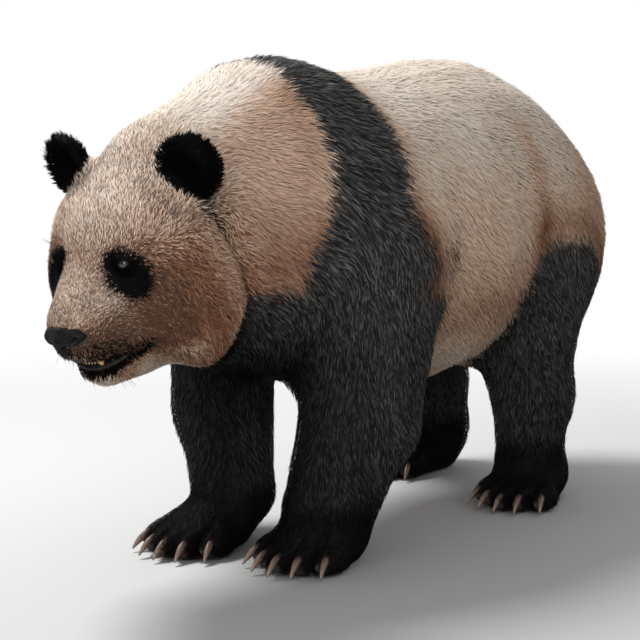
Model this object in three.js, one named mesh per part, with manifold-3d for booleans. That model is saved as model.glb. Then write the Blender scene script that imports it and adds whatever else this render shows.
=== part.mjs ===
// Giant panda, an adult standing on all fours with its head lowered: a still, life-size model.
//
// Frame: millimetres, +Z up, the animal faces -Y and its left side is +X. The floor is z = 0, and
// the finished group is moved so that its origin lies under the middle of the bounding box.
//
// The body is one smooth field, a blend of ellipsoids and tapered limbs that stand for its masses
// of bone, muscle, fat and coat, out to the tips of the coat. Each part of the animal is the piece
// of that body inside its own region, and thin plane cuts part it from its neighbours. Eyes, nose
// leather and claws are separate solids, set in sockets that fit them.

import * as THREE from "three";
import { mergeVertices } from "three/addons/utils/BufferGeometryUtils.js";
import Module from "manifold-3d";

const wasm = await Module();
wasm.setup();

// ---------------------------------------------------------------- driving dimensions, mm

const WITHERS = 790; // height of the back over the shoulders
const CROUP = 822; // height of the back over the hips
const CHEST = { half: 208, y: -165, floor: 292 };
const BELLY = { half: 264, y: 130, floor: 240 };
const HIPS = { half: 261, y: 385, rear: 684 };

// The head's own frame: an origin between the ears and the jaw, tipped nose-down.
const HEAD = { y: -545, z: 530, tip: 25 };
const EYE = { x: 62, forward: 84, up: 12, r: 12 };
const EAR = { x: 112, forward: -40, up: 96, r: 51, thick: 22 };
const NOSE = { forward: 175, up: -54, half: 38, depth: 24, height: 17 };

// Legs, each a chain of points down one side: x is measured outward from the middle.
const FORE = {
  left: { elbow: [152, -128, 350], forearm: [150, -172, 225], wrist: [116, -212, 88], toeY: -338 },
  right: { elbow: [164, -124, 350], forearm: [148, -157, 225], wrist: [102, -181, 88], toeY: -366 },
};
const HIND = {
  left: { stifle: [140, 374, 330], shin: [162, 388, 200], ankle: [150, 405, 88], toeY: 242 },
  right: { stifle: [154, 396, 330], shin: [144, 515, 200], ankle: [138, 545, 88], toeY: 342 },
};
const FORE_PAW = { x: 104, heelX: 105, width: 168, length: 196, height: 86 };
const HIND_PAW = { x: 175, heelX: 148, width: 164, length: 248, height: 90 };
const TOES = [-2, -1, 0, 1, 2];
const CLAW = { base: 7, root: 12, reach: 34, top: 34, drop: 28, splay: 6 };

// The mouth: its corners, and the angle that the jaws stand apart. Only the upper teeth show.
const MOUTH = { corner: 100, up: -105, half: 78, back: 16, slant: 38, opening: 14.5 };
const CANINE = { x: 22, forward: 152, r: 5.5, length: 12 };
const INCISOR = { pitch: 5, forward: 157, r: 2.7, length: 9 };
const GAP = 0.4; // clearance between neighbouring solids
// Mesh spacing of each part: finer where the form is smaller.
const STEP = { trunk: 72, neck: 58, leg: 57, tail: 30, head: 26, paw: 25, ear: 20, nose: 14 };

// ---------------------------------------------------------------- fields

const { hypot, max, min, abs, cos, sin } = Math;
const radians = THREE.MathUtils.degToRad;

// An ellipsoid from its centre and half sizes, tipped about X and then turned about Z.
function ellipsoid([cx, cy, cz], [rx, ry, rz], tip = 0, turn = 0) {
  const [ct, st] = [cos(radians(tip)), sin(radians(tip))];
  const [cu, su] = [cos(radians(turn)), sin(radians(turn))];
  return (x, y, z) => {
    const [dx, dy, dz] = [x - cx, y - cy, z - cz];
    const [ux, uy] = [cu * dx + su * dy, -su * dx + cu * dy];
    const [vy, vz] = [ct * uy + st * dz, -st * uy + ct * dz];
    const k0 = hypot(ux / rx, vy / ry, vz / rz);
    const k1 = hypot(ux / (rx * rx), vy / (ry * ry), vz / (rz * rz));
    return k1 < 1e-9 ? -min(rx, ry, rz) : (k0 * (k0 - 1)) / k1;
  };
}

// A limb from a to b, round in section, with radius ra at a and rb at b.
function limb([ax, ay, az], [bx, by, bz], ra, rb) {
  const [ex, ey, ez] = [bx - ax, by - ay, bz - az];
  const square = ex * ex + ey * ey + ez * ez;
  return (x, y, z) => {
    const [dx, dy, dz] = [x - ax, y - ay, z - az];
    const t = max(0, min(1, (dx * ex + dy * ey + dz * ez) / square));
    return hypot(dx - t * ex, dy - t * ey, dz - t * ez) - (ra + (rb - ra) * t);
  };
}

const soft = (k, a, b) => {
  const h = max(0, k - abs(a - b)) / k;
  return min(a, b) - (h * h * k) / 4;
};
const blend = (k, ...parts) => (x, y, z) => parts.reduce((d, part) => soft(k, d, part(x, y, z)), 1e6);
const carve = (k, body, ...hollows) => (x, y, z) =>
  hollows.reduce((d, hollow) => -soft(k, -d, hollow(x, y, z)), body(x, y, z));
const both = (part) => (x, y, z) => part(abs(x), y, z);

// ---------------------------------------------------------------- trunk, neck and tail

const middle = (top, bottom) => [(top + bottom) / 2, (top - bottom) / 2];
const [chestZ, chestR] = middle(WITHERS - 14, CHEST.floor);
const [bellyZ, bellyR] = middle(803, BELLY.floor);
const [croupZ, croupR] = middle(CROUP, 300);
const trunkField = blend(
  60,
  ellipsoid([0, CHEST.y, chestZ], [CHEST.half, 235, chestR]),
  ellipsoid([0, BELLY.y, bellyZ], [BELLY.half, 280, bellyR]),
  ellipsoid([0, -20, 545], [232, 180, 236]),
  ellipsoid([0, HIPS.y - 90, croupZ], [HIPS.half - 25, 280, croupR]),
  ellipsoid([0, HIPS.y, 508], [HIPS.half, HIPS.rear - HIPS.y, 246]),
  ellipsoid([0, CHEST.y - 30, WITHERS - 150], [140, 200, 138]),
);
const neckField = blend(
  60,
  limb([0, -240, 664], [0, -470, 618], 128, 97),
  limb([0, -230, 578], [0, -470, 508], 190, 138),
  limb([0, -300, 450], [0, -470, 470], 148, 106),
);
const tailField = limb([0, HIPS.rear - 46, 540], [0, HIPS.rear - 4, 450], 50, 32);

// ---------------------------------------------------------------- head

const [headCos, headSin] = [cos(radians(HEAD.tip)), sin(radians(HEAD.tip))];

// A field given in the head's frame (x to the left, forward to the nose, up) as one in the body's.
const inHead = (part) => (x, y, z) => {
  const [dy, dz] = [y - HEAD.y, z - HEAD.z];
  return part(x, -dy * headCos - dz * headSin, -dy * headSin + dz * headCos);
};
const headPoint = (x, forward, up) => [
  x,
  HEAD.y - forward * headCos - up * headSin,
  HEAD.z - forward * headSin + up * headCos,
];

const cranium = ellipsoid([0, -36, 14], [110, 98, 82]);
const forehead = ellipsoid([0, 28, 22], [84, 58, 56]);
const temple = both(ellipsoid([68, -6, 8], [58, 66, 64]));
const cheek = both(ellipsoid([76, -12, -96], [68, 92, 108], 0, -8));
const underEye = both(ellipsoid([59, 50, -36], [47, 44, 44]));
const jowl = both(ellipsoid([54, 62, -90], [42, 46, 42]));
const muzzle = limb([0, 46, -50], [0, 134, -60], 66, 42);
const bridge = limb([0, 70, -14], [0, 152, -46], 43, 29);
const lip = both(limb([28, 84, -80], [21, 134, -79], 38, 25));
const throat = limb([0, -60, -110], [0, 60, -134], 78, 52);
const chin = limb([0, 40, -126], [0, 129, -131], 50, 27);
const jawline = both(limb([46, 10, -124], [20, 122, -129], 42, 22));
const face = blend(46, cranium, forehead, temple, cheek, underEye, jowl, bridge, muzzle, lip);
const orbit = both(ellipsoid([EYE.x + 6, EYE.forward + 12, EYE.up], [20, 18, 14]));
const headOwn = carve(14, blend(24, face, blend(30, throat, chin, jawline)), orbit);
const headField = inHead(headOwn);
const earCup = ellipsoid([EAR.x - 6, EAR.forward + 30, EAR.up + 6], [30, 20, 32], 0, -20);
const earDisc = ellipsoid([EAR.x, EAR.forward, EAR.up], [EAR.r, EAR.thick, EAR.r + 2], 0, -20);
const earField = inHead(both(carve(10, earDisc, earCup)));

const nosePad = ellipsoid([0, NOSE.forward, NOSE.up], [NOSE.half, NOSE.depth, NOSE.height]);
const philtrum = ellipsoid([0, NOSE.forward, NOSE.up - 16], [16, 21, 14]);
const noseField = inHead(blend(10, nosePad, philtrum));

// ---------------------------------------------------------------- legs and paws

const sides = { left: 1, right: -1 };
const across = (s, [x, y, z]) => [s * x, y, z];

function foreleg(s, { elbow, forearm, wrist }) {
  const beside = ([x, y, z], dx, dy) => across(s, [x + dx, y + dy, z]);
  const shoulder = ellipsoid(across(s, [142, -130, 520]), [100, 150, 190], 8, s * 6);
  const upper = limb(across(s, [158, -124, 480]), across(s, elbow), 98, 78);
  const inner = limb(beside(elbow, -14, -20), beside(forearm, -12, -10), 98, 85);
  const outer = limb(beside(elbow, 10, 10), beside(forearm, 14, 14), 70, 76);
  const radius = limb(beside(forearm, -12, -10), beside(wrist, -7, -5), 84, 68);
  const ulna = limb(beside(forearm, 14, 14), beside(wrist, 8, 8), 76, 65);
  return blend(45, shoulder, upper, blend(20, inner, outer, radius, ulna));
}

function hindleg(s, { stifle, shin, ankle }) {
  const hipY = (stifle[1] + 400) / 2;
  const thigh = ellipsoid(across(s, [132, hipY + 68, 470]), [112, 162, 190], -6);
  const knee = limb(across(s, [160, hipY + 15, 430]), across(s, stifle), 106, 96);
  const calf = limb(across(s, stifle), across(s, shin), 98, 78);
  const hock = limb(across(s, shin), across(s, ankle), 78, 66);
  return blend(45, thigh, knee, blend(20, calf, hock));
}

// Toe i of a paw, from -2 on its right to 2 on its left: the outer toes stand further back.
const toeAt = (s, toeY, { x, width }, i) => [s * x + i * width * 0.19, toeY + i * i * 9];

function paw(s, toeY, size) {
  const { x, heelX, width, length, height } = size;
  const toes = TOES.map((i) => {
    const [toeX, front] = toeAt(s, toeY, size, i);
    return ellipsoid([toeX, front + 34, 24], [width * 0.125, 38, 26], 12);
  });
  const instepR = [width * 0.45, length * 0.34, height * 0.47];
  const instepAt = [(s * (x + heelX)) / 2, toeY + length * 0.53, height * 0.39];
  const instep = ellipsoid(instepAt, instepR, 16);
  const heel = ellipsoid([s * heelX, toeY + length * 0.74, 34], [width * 0.37, length * 0.27, 42]);
  return blend(12, blend(6, ...toes), blend(30, instep, heel));
}

const pawField = {};
const legField = {};
for (const [side, s] of Object.entries(sides)) {
  pawField[`fore_${side}`] = paw(s, FORE[side].toeY, FORE_PAW);
  pawField[`hind_${side}`] = paw(s, HIND[side].toeY, HIND_PAW);
  legField[`fore_${side}`] = blend(26, foreleg(s, FORE[side]), pawField[`fore_${side}`]);
  legField[`hind_${side}`] = blend(26, hindleg(s, HIND[side]), pawField[`hind_${side}`]);
}
const trunkAndNeck = blend(70, trunkField, neckField);
const bodyField = blend(30, trunkAndNeck, ...Object.values(legField), headField);

// ---------------------------------------------------------------- surface of a field

const AXES = [0, 1, 2];
const bit = (corner, a) => (corner >> a) & 1;

// The rings of corners around the six faces of a grid cell, with corner bits x = 1, y = 2, z = 4.
const cellFaces = AXES.flatMap((a) => {
  const [u, v] = [1 << (a + 1) % 3, 1 << (a + 2) % 3];
  return [0, 1 << a].map((base) => [base, base | u, base | u | v, base | v]);
});
const edgeBetween = (c, d) => Math.log2(c ^ d) * 8 + (c & d);

// The edges of a cell that the surface crosses, in groups that belong to one sheet of it. Where
// two sheets pass through a face, the inside corners of that face are kept apart.
function sheets(inside) {
  const groups = [];
  const join = (e, f) => {
    const [g, h] = [e, f].map((x) => groups.find((group) => group.includes(x)) ?? [x]);
    const merged = g === h ? g : [...new Set([...g, ...h])];
    groups.splice(0, groups.length, ...groups.filter((x) => x !== g && x !== h), merged);
  };
  for (const ring of cellFaces) {
    const edges = ring.map((c, i) => [c, ring[(i + 1) % 4]]);
    const crossed = edges.filter(([c, d]) => inside[c] !== inside[d]).map(([c, d]) => edgeBetween(c, d));
    if (crossed.length === 2) join(...crossed);
    if (crossed.length === 4)
      for (let i = 0; i < 4; i++)
        if (inside[ring[i]]) join(edgeBetween(...edges[(i + 3) % 4]), edgeBetween(...edges[i]));
  }
  return groups;
}

// One closed mesh of the surface of a field inside a box, by surface nets on a grid of the given
// step. Each vertex is drawn onto the surface, and the box's own walls close the mesh.
function surface(field, [lo, hi], step, outward = 0) {
  const n = AXES.map((k) => Math.ceil((hi[k] - lo[k]) / step) + 3);
  const stride = [1, n[0], n[0] * n[1]];
  const reach = (corner) => AXES.reduce((sum, a) => sum + bit(corner, a) * stride[a], 0);
  const place = (cell, a) => lo[a] + ((Math.floor(cell / stride[a]) % n[a]) - 1) * step;
  const last = (cell) => AXES.some((a) => Math.floor(cell / stride[a]) % n[a] === n[a] - 1);
  const first = (cell) => AXES.some((a) => Math.floor(cell / stride[a]) % n[a] === 0);
  const value = new Float64Array(n[0] * n[1] * n[2]).map((_, cell) =>
    first(cell) || last(cell) ? step : field(...AXES.map((a) => place(cell, a))),
  );
  const points = [];
  const vertexOf = new Map();
  for (let cell = 0; cell < value.length; cell++) {
    if (last(cell)) continue;
    const inside = Array.from({ length: 8 }, (_, corner) => value[cell + reach(corner)] < 0);
    if (inside.every((x) => x === inside[0])) continue;
    for (const group of sheets(inside)) {
      const sum = [0, 0, 0];
      for (const edge of group) {
        const [along, corner] = [edge >> 3, edge & 7];
        const [from, to] = [value[cell + reach(corner)], value[cell + reach(corner) + stride[along]]];
        for (const a of AXES) {
          const part = a === along ? from / (from - to) : bit(corner, a);
          sum[a] += (place(cell, a) + part * step) / group.length;
        }
        vertexOf.set(cell * 32 + edge, points.length / 3);
      }
      points.push(...drawn(field, sum, lo, hi, step, outward));
    }
  }
  const triangles = [];
  for (let cell = 0; cell < value.length; cell++) {
    if (last(cell)) continue;
    for (const a of AXES) {
      if (value[cell] < 0 === value[cell + stride[a]] < 0) continue;
      const [u, v] = [1 << (a + 1) % 3, 1 << (a + 2) % 3];
      const ring = [0, u, u | v, v].map((c) => vertexOf.get((cell - reach(c)) * 32 + a * 8 + c));
      triangles.push(...split(points, value[cell] < 0 ? ring : ring.reverse()));
    }
  }
  return solid(new Float32Array(points), new Uint32Array(triangles));
}

// The slope of the field at a point.
function slope(field, p) {
  return AXES.map((k) => {
    const [a, b] = [[...p], [...p]];
    a[k] -= 0.5;
    b[k] += 0.5;
    return field(...b) - field(...a);
  });
}

// A point moved onto the surface of the field, or a little outside it, unless that is far away or
// the point is on a wall of the box.
function drawn(field, start, lo, hi, step, outward) {
  const p = [...start];
  if (start.some((x, k) => x < lo[k] - step * 0.4 || x > hi[k] + step * 0.4)) return p;
  for (let turn = 0; turn < 4; turn++) {
    const g = slope(field, p);
    const rate = field(...p) / max(1e-6, g[0] ** 2 + g[1] ** 2 + g[2] ** 2);
    for (let k = 0; k < 3; k++) p[k] -= rate * g[k];
  }
  const near = hypot(p[0] - start[0], p[1] - start[1], p[2] - start[2]) < step * 0.75;
  const q = near ? p : start;
  const g = slope(field, q);
  return q.map((x, k) => x + (outward * g[k]) / hypot(...g));
}

// A quad as two triangles, cut along its shorter diagonal.
function split(points, [a, b, c, d]) {
  const apart = (i, j) => hypot(...AXES.map((k) => points[3 * i + k] - points[3 * j + k]));
  return apart(a, c) < apart(b, d) ? [a, b, c, a, c, d] : [a, b, d, b, c, d];
}

// ---------------------------------------------------------------- solids

function solid(vertProperties, triVerts) {
  return new wasm.Manifold(new wasm.Mesh({ numProp: 3, vertProperties, triVerts }));
}

function solidOf(geometry, matrix = new THREE.Matrix4()) {
  const bare = geometry.clone().applyMatrix4(matrix);
  bare.deleteAttribute("normal");
  bare.deleteAttribute("uv");
  const merged = mergeVertices(bare, 1e-3);
  return solid(merged.attributes.position.array, new Uint32Array(merged.index.array));
}

const largest = (s) => s.decompose().sort((a, b) => b.volume() - a.volume())[0];

// A tapered horn, round in section, whose axis runs through the given points [x, y, z, radius].
function horn(points, sides) {
  const axis = points.map((point) => new THREE.Vector3(...point));
  const rings = points.length;
  const positions = axis.flatMap((centre, i) => {
    const along = new THREE.Vector3().subVectors(axis[min(rings - 1, i + 1)], axis[max(0, i - 1)]);
    const aside = new THREE.Vector3(-1, 0, 0);
    const over = new THREE.Vector3().crossVectors(aside, along.normalize());
    return Array.from({ length: sides }, (_, k) => {
      const angle = (2 * Math.PI * k) / sides;
      const spoke = aside.clone().multiplyScalar(cos(angle)).addScaledVector(over, sin(angle));
      return centre.clone().addScaledVector(spoke, points[i][3]).toArray();
    }).flat();
  });
  const triangles = [];
  for (let i = 0; i + 1 < rings; i++)
    for (let k = 0; k < sides; k++) {
      const [a, b] = [i * sides + k, i * sides + ((k + 1) % sides)];
      triangles.push(a, a + sides, b, b, a + sides, b + sides);
    }
  const end = (rings - 1) * sides;
  for (let k = 1; k + 1 < sides; k++) triangles.push(0, k, k + 1, end, end + k + 1, end + k);
  return solid(new Float32Array(positions), new Uint32Array(triangles));
}

// An upper tooth that hangs from the given place in the head's frame, rooted in the lip above it.
function tooth(x, forward, { r, length }) {
  const ring = (up, size) => [...headPoint(x, forward, MOUTH.up + up), size];
  return horn([ring(6, r), ring(-length * 0.5, r * 0.85), ring(-length, r * 0.25)], 5);
}

// A claw: rooted in the toe, it runs forward and bends down to a tip just above the floor.
function claw([x, front], i, grown = 0) {
  const points = [0, 0.45, 0.8, 1].map((t) => [
    x + CLAW.splay * i * t,
    front + CLAW.root - CLAW.reach * t,
    CLAW.top - CLAW.drop * t ** 1.7,
    CLAW.base * (1 - 0.74 * t ** 2) + grown,
  ]);
  return horn(points, 5);
}

const FAR = 900;

// A box between two corners, in a frame at a point, turned about X (tip) or Y (lean).
function block(lo, hi, at = [0, 0, 0], { tip = 0, lean = 0 } = {}) {
  const turned = new THREE.Matrix4().makeRotationFromEuler(new THREE.Euler(radians(tip), radians(lean), 0));
  const place = new THREE.Matrix4().makeTranslation(...at).multiply(turned);
  const centre = lo.map((x, k) => (x + hi[k]) / 2);
  place.multiply(new THREE.Matrix4().makeTranslation(...centre));
  return solidOf(new THREE.BoxGeometry(...hi.map((x, k) => x - lo[k])), place);
}

// Everything below a plane through a point; by moves the plane along its normal.
const below = (at, turn, by = 0) => block([-FAR, -FAR, -FAR], [FAR, FAR, by], at, turn);
// Everything in front of (-Y of) a plane through a point.
const before = (at, turn, by = 0) => block([-FAR, -FAR, -FAR], [FAR, by, FAR], at, turn);

const floor = block([-FAR, -FAR, -200], [FAR, FAR, 0]);
const headRegion = (by) => before([0, -428, 450], { tip: 9 }, by).subtract(below([0, 0, 260], {}, -by));
const neckRegion = (by) => before([0, -318, 550], { tip: -12 }, by).subtract(below([0, 0, 260], {}, -by));
function legRegion(s, by) {
  const beside = block([s > 0 ? 14 - by : -FAR, -FAR, -FAR], [s > 0 ? FAR : by - 14, FAR, FAR]);
  const foreTop = below([s * 50, 0, 322], { lean: -s * 50 }, by);
  const hindTop = below([s * 50, 0, 292], { lean: -s * 54 }, by);
  return {
    fore: beside.intersect(foreTop).intersect(before([0, 10, 300], { tip: 20 }, by)),
    hind: beside.intersect(hindTop).subtract(before([0, 226, 300], { tip: -24 }, -by)),
  };
}
const pawRegion = (by) => ({
  fore: below([0, -200, 92], { tip: -14 }, by),
  hind: below([0, 380, 88], { tip: -10 }, by),
});

// ---------------------------------------------------------------- parts

const fur = { roughness: 0.9, metalness: 0 };
const finishes = {
  white: { color: 0xe2d6c4, ...fur },
  black: { color: 0x1c1b1b, ...fur },
  leather: { color: 0x161414, roughness: 0.45, metalness: 0 },
  horn: { color: 0x6b5240, roughness: 0.4, metalness: 0 },
  eye: { color: 0x0c0a09, roughness: 0.1, metalness: 0 },
};

const panda = new THREE.Group();

function add(name, made, finish) {
  const mesh = made.getMesh();
  const geometry = new THREE.BufferGeometry();
  geometry.setAttribute("position", new THREE.BufferAttribute(new Float32Array(mesh.vertProperties), 3));
  geometry.setIndex(new THREE.BufferAttribute(new Uint32Array(mesh.triVerts), 1));
  geometry.computeVertexNormals();
  const shown = new THREE.Mesh(geometry, new THREE.MeshStandardMaterial(finishes[finish]));
  shown.name = name;
  panda.add(shown);
}

const half = GAP / 2;
const legs = { 1: legRegion(1, half), [-1]: legRegion(-1, half) };
const legsKept = { 1: legRegion(1, -half), [-1]: legRegion(-1, -half) };

// Trunk and tail.
const tailBox = [[-90, 520, 380], [90, 760, 640]];
const tail = surface(tailField, tailBox, STEP.tail);
const tailSocket = surface(tailField, tailBox, STEP.tail, GAP);
const withLegs = blend(30, trunkAndNeck, ...Object.values(legField));
let trunk = surface(withLegs, [[-310, -420, 240], [310, 700, 850]], STEP.trunk);
trunk = trunk.subtract(neckRegion(half)).subtract(tailSocket);
for (const s of [1, -1]) trunk = trunk.subtract(legs[s].fore).subtract(legs[s].hind);
add("trunk", largest(trunk), "white");
add("tail", tail, "white");

// Neck.
let neck = surface(bodyField, [[-250, -540, 250], [250, -180, 830]], STEP.neck);
neck = neck.intersect(neckRegion(-half)).subtract(headRegion(half));
for (const s of [1, -1]) neck = neck.subtract(legs[s].fore);
add("neck", largest(neck), "white");

// Head and lower jaw, parted by the mouth: a plane through its corners, below it a wedge that opens
// towards the front, and behind the corners a plane that slants down and back to the throat.
function headBlock(lo, hi, turn = 0) {
  const frame = new THREE.Matrix4().makeRotationX(radians(HEAD.tip)).setPosition(0, HEAD.y, HEAD.z);
  frame.multiply(new THREE.Matrix4().makeTranslation(0, -MOUTH.corner, MOUTH.up));
  frame.multiply(new THREE.Matrix4().makeRotationX(radians(turn)));
  const centre = lo.map((x, k) => (x + hi[k]) / 2);
  frame.multiply(new THREE.Matrix4().makeTranslation(...centre));
  return solidOf(new THREE.BoxGeometry(...hi.map((x, k) => x - lo[k])), frame);
}
const jawSpace = (by) => {
  const wide = MOUTH.half - by;
  const under = headBlock([-wide, -FAR, -FAR], [wide, FAR, -by]);
  return under.intersect(headBlock([-wide, -FAR, -FAR], [wide, MOUTH.back - by, FAR], MOUTH.slant));
};
const jawOpen = headBlock([-FAR, -FAR, -FAR], [FAR, FAR, -GAP], MOUTH.opening);

const headBox = [[-190, -780, 300], [190, -390, 720]];
const wholeHead = surface(bodyField, headBox, STEP.head).intersect(headRegion(-half));
let head = wholeHead.subtract(jawSpace(0));
for (const s of [1, -1]) {
  head = head.add(tooth(s * CANINE.x, CANINE.forward, CANINE));
  for (const i of [0, 1, 2]) {
    const x = s * INCISOR.pitch * (i + 0.5);
    head = head.add(tooth(x, INCISOR.forward - i, INCISOR));
  }
}
add("lower_jaw", largest(wholeHead.intersect(jawSpace(GAP)).intersect(jawOpen)), "white");

// Nose leather, ears and eyes, each in a socket of its own shape.
const noseBox = [[-50, -760, 350], [50, -630, 460]];
add("nose", surface(noseField, noseBox, STEP.nose), "leather");
head = head.subtract(surface(noseField, noseBox, STEP.nose, GAP));
for (const [side, s] of Object.entries(sides)) {
  const box = [[s > 0 ? 20 : -200, -640, 520], [s > 0 ? 200 : -20, -460, 730]];
  add(`ear_${side}`, surface(earField, box, STEP.ear), "black");
  head = head.subtract(surface(earField, box, STEP.ear, GAP));
  const place = new THREE.Matrix4().makeTranslation(...headPoint(s * EYE.x, EYE.forward, EYE.up));
  const ball = (r) => solidOf(new THREE.SphereGeometry(r, 10, 6), place);
  add(`eye_${side}`, ball(EYE.r), "eye");
  head = head.subtract(ball(EYE.r + GAP));
}
add("head", largest(head), "white");

// Legs and paws.
for (const [side, s] of Object.entries(sides))
  for (const end of ["fore", "hind"]) {
    const field = legField[`${end}_${side}`];
    const y = end === "fore" ? [-440, 60] : [180, 720];
    const x = s > 0 ? [0, 330] : [-330, 0];
    const wide = blend(30, trunkAndNeck, field);
    const leg = surface(wide, [[x[0], y[0], 60], [x[1], y[1], 640]], STEP.leg).intersect(legsKept[s][end]);
    add(`${end}leg_${side}`, largest(leg.subtract(pawRegion(half)[end])), "black");
    const toeY = (end === "fore" ? FORE : HIND)[side].toeY;
    const size = end === "fore" ? FORE_PAW : HIND_PAW;
    const whole = surface(field, [[x[0], toeY - 20, -20], [x[1], toeY + 300, 120]], STEP.paw);
    let foot = whole.intersect(pawRegion(-half)[end]).subtract(floor);
    TOES.forEach((i) => {
      const spot = toeAt(s, toeY, size, i);
      const number = s * i + 3;
      add(`claw_${end}_${side}_${number}`, claw(spot, i), "horn");
      foot = foot.subtract(claw(spot, i, GAP));
    });
    add(`${end}paw_${side}`, largest(foot), "black");
  }

// The origin goes under the middle of the bounding box.
const bounds = new THREE.Box3().setFromObject(panda);
const centre = bounds.getCenter(new THREE.Vector3());
for (const mesh of panda.children) mesh.geometry.translate(-centre.x, -centre.y, -bounds.min.z);

export default panda;
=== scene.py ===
# %% [markdown]
# # A giant panda, standing, life-size
# A museum model of a giant panda has three layers. Under everything is the body's own form, which the
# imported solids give: they reach out to the tips of the coat. Inside them lies the skin, one closed mesh
# with no seam. On the skin stands the coat, which is real geometry here, many thousands of small
# tapered tufts that follow the lie of the fur. Eyes, nose leather, teeth and claws are pieces of their own.

# %% Load the solids
import math

import bmesh
import bpy
import numpy as np
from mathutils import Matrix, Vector
from mathutils.bvhtree import BVHTree
from mathutils.kdtree import KDTree


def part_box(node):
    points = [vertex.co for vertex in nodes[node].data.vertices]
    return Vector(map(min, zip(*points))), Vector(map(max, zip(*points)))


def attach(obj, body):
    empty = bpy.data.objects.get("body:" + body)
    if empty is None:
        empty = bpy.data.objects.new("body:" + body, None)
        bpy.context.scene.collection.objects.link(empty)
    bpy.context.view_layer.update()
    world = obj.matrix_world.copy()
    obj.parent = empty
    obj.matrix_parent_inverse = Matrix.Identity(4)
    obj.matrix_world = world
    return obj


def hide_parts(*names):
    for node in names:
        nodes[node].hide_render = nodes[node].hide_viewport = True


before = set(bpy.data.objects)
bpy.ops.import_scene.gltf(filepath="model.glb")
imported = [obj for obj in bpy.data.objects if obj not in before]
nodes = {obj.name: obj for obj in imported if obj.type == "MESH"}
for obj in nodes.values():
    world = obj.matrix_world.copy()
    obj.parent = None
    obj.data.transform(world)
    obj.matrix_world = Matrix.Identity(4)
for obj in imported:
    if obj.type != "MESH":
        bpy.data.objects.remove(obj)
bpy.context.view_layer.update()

MM = 0.001
SIDES = {"left": 1, "right": -1}
rng = np.random.default_rng(7)

# %% [markdown]
# ## Camera
# The viewer stands in front of the animal and to its left, a little lower than its shoulder, with a
# lens about twice as long as a normal one, so the body is drawn with little perspective.

# %% Camera
VIEW_AZIMUTH = math.radians(35.5)
VIEW_PITCH = math.radians(6.5)
VIEW_DISTANCE = 2.70
VIEW_HEIGHT = 0.678
LENS, SENSOR = 90, 36
AIM = Vector((-0.002, -0.074, 0))

camera_data = bpy.data.cameras.new("camera")
camera_data.lens = LENS
camera_data.sensor_width = SENSOR
camera = bpy.data.objects.new("camera", camera_data)
bpy.context.scene.collection.objects.link(camera)
bpy.context.scene.camera = camera
bpy.context.scene.view_settings.view_transform = "Standard"
towards_viewer = Vector((math.sin(VIEW_AZIMUTH), -math.cos(VIEW_AZIMUTH), 0))
camera.location = AIM + towards_viewer * VIEW_DISTANCE + Vector((0, 0, VIEW_HEIGHT))
camera.rotation_euler = (math.pi / 2 - VIEW_PITCH, 0, VIEW_AZIMUTH)
to_right = Vector((math.cos(VIEW_AZIMUTH), math.sin(VIEW_AZIMUTH), 0))
print("camera at", [round(x, 3) for x in camera.location])

# %% [markdown]
# ## Node tools
# World, floor and materials are all small graphs of nodes. Each of these functions adds one step of such
# a graph, wired to what goes before it, so that a graph can be written like a formula.

# %% Node tools
def add_node(tree, kind, **settings):
    node = tree.nodes.new(kind)
    for name, value in settings.items():
        setattr(node, name, value)
    return node


def wire(tree, source, node, name):
    """Links a socket to an input, or writes a plain value there."""
    if isinstance(source, bpy.types.NodeSocket):
        tree.links.new(source, node.inputs[name])
    else:
        node.inputs[name].default_value = source


def calculate(tree, operation, first, second):
    node = add_node(tree, "ShaderNodeMath", operation=operation)
    wire(tree, first, node, 0)
    wire(tree, second, node, 1)
    return node.outputs[0]


def map_range(tree, value, low, high, to_low=0, to_high=1, way="LINEAR"):
    """The value's place between low and high, carried over to between to_low and to_high."""
    node = add_node(tree, "ShaderNodeMapRange", interpolation_type=way)
    wire(tree, value, node, "Value")
    wire(tree, low, node, "From Min")
    wire(tree, high, node, "From Max")
    wire(tree, to_low, node, "To Min")
    wire(tree, to_high, node, "To Max")
    return node.outputs["Result"]


def object_place(tree):
    return add_node(tree, "ShaderNodeTexCoord").outputs["Object"]


def new_material(name, roughness, specular, coat=0.0):
    material = bpy.data.materials.new(name)
    material.use_nodes = True
    shader = material.node_tree.nodes["Principled BSDF"]
    shader.inputs["Roughness"].default_value = roughness
    shader.inputs["Specular IOR Level"].default_value = specular
    shader.inputs["Coat Weight"].default_value = coat
    shader.inputs["Coat Roughness"].default_value = 0.04
    return material, material.node_tree, shader

# %% [markdown]
# ## Light and floor
# A key lamp stands high on the viewer's left, a little behind the animal, so the back and the crown are
# bright and the near flank turns slowly into shade. A broad fill lamp beyond the viewer lifts that shade.
# The world adds even light from all round. It looks white to the camera but gives only half that light.

# %% Lamps and world
KEY = {"size": 1.2, "power": 106}
FILL = {"size": 2.5, "power": 103}
WORLD_LIGHT = 0.50
BODY_MIDDLE = Vector((0, 0, 0.45))


def area_lamp(name, place, aim, size, power):
    data = bpy.data.lights.new(name, "AREA")
    data.shape = "DISK"
    data.size = size
    data.energy = power
    lamp = bpy.data.objects.new(name, data)
    bpy.context.scene.collection.objects.link(lamp)
    lamp.location = place
    lamp.rotation_euler = (Vector(aim) - Vector(place)).to_track_quat("-Z", "Y").to_euler()
    return lamp


def from_body(right, nearer, higher):
    """A place counted from the body's middle: to the viewer's right, towards the viewer and up."""
    return BODY_MIDDLE + to_right * right + towards_viewer * nearer + Vector((0, 0, higher))


def seen_directly(tree):
    """1 for rays from the camera, mirrors and glass, and 0 for light that falls on things."""
    path = add_node(tree, "ShaderNodeLightPath")
    value = calculate(tree, "MAXIMUM", path.outputs["Is Camera Ray"], path.outputs["Is Glossy Ray"])
    return calculate(tree, "MAXIMUM", value, path.outputs["Is Transmission Ray"])


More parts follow.
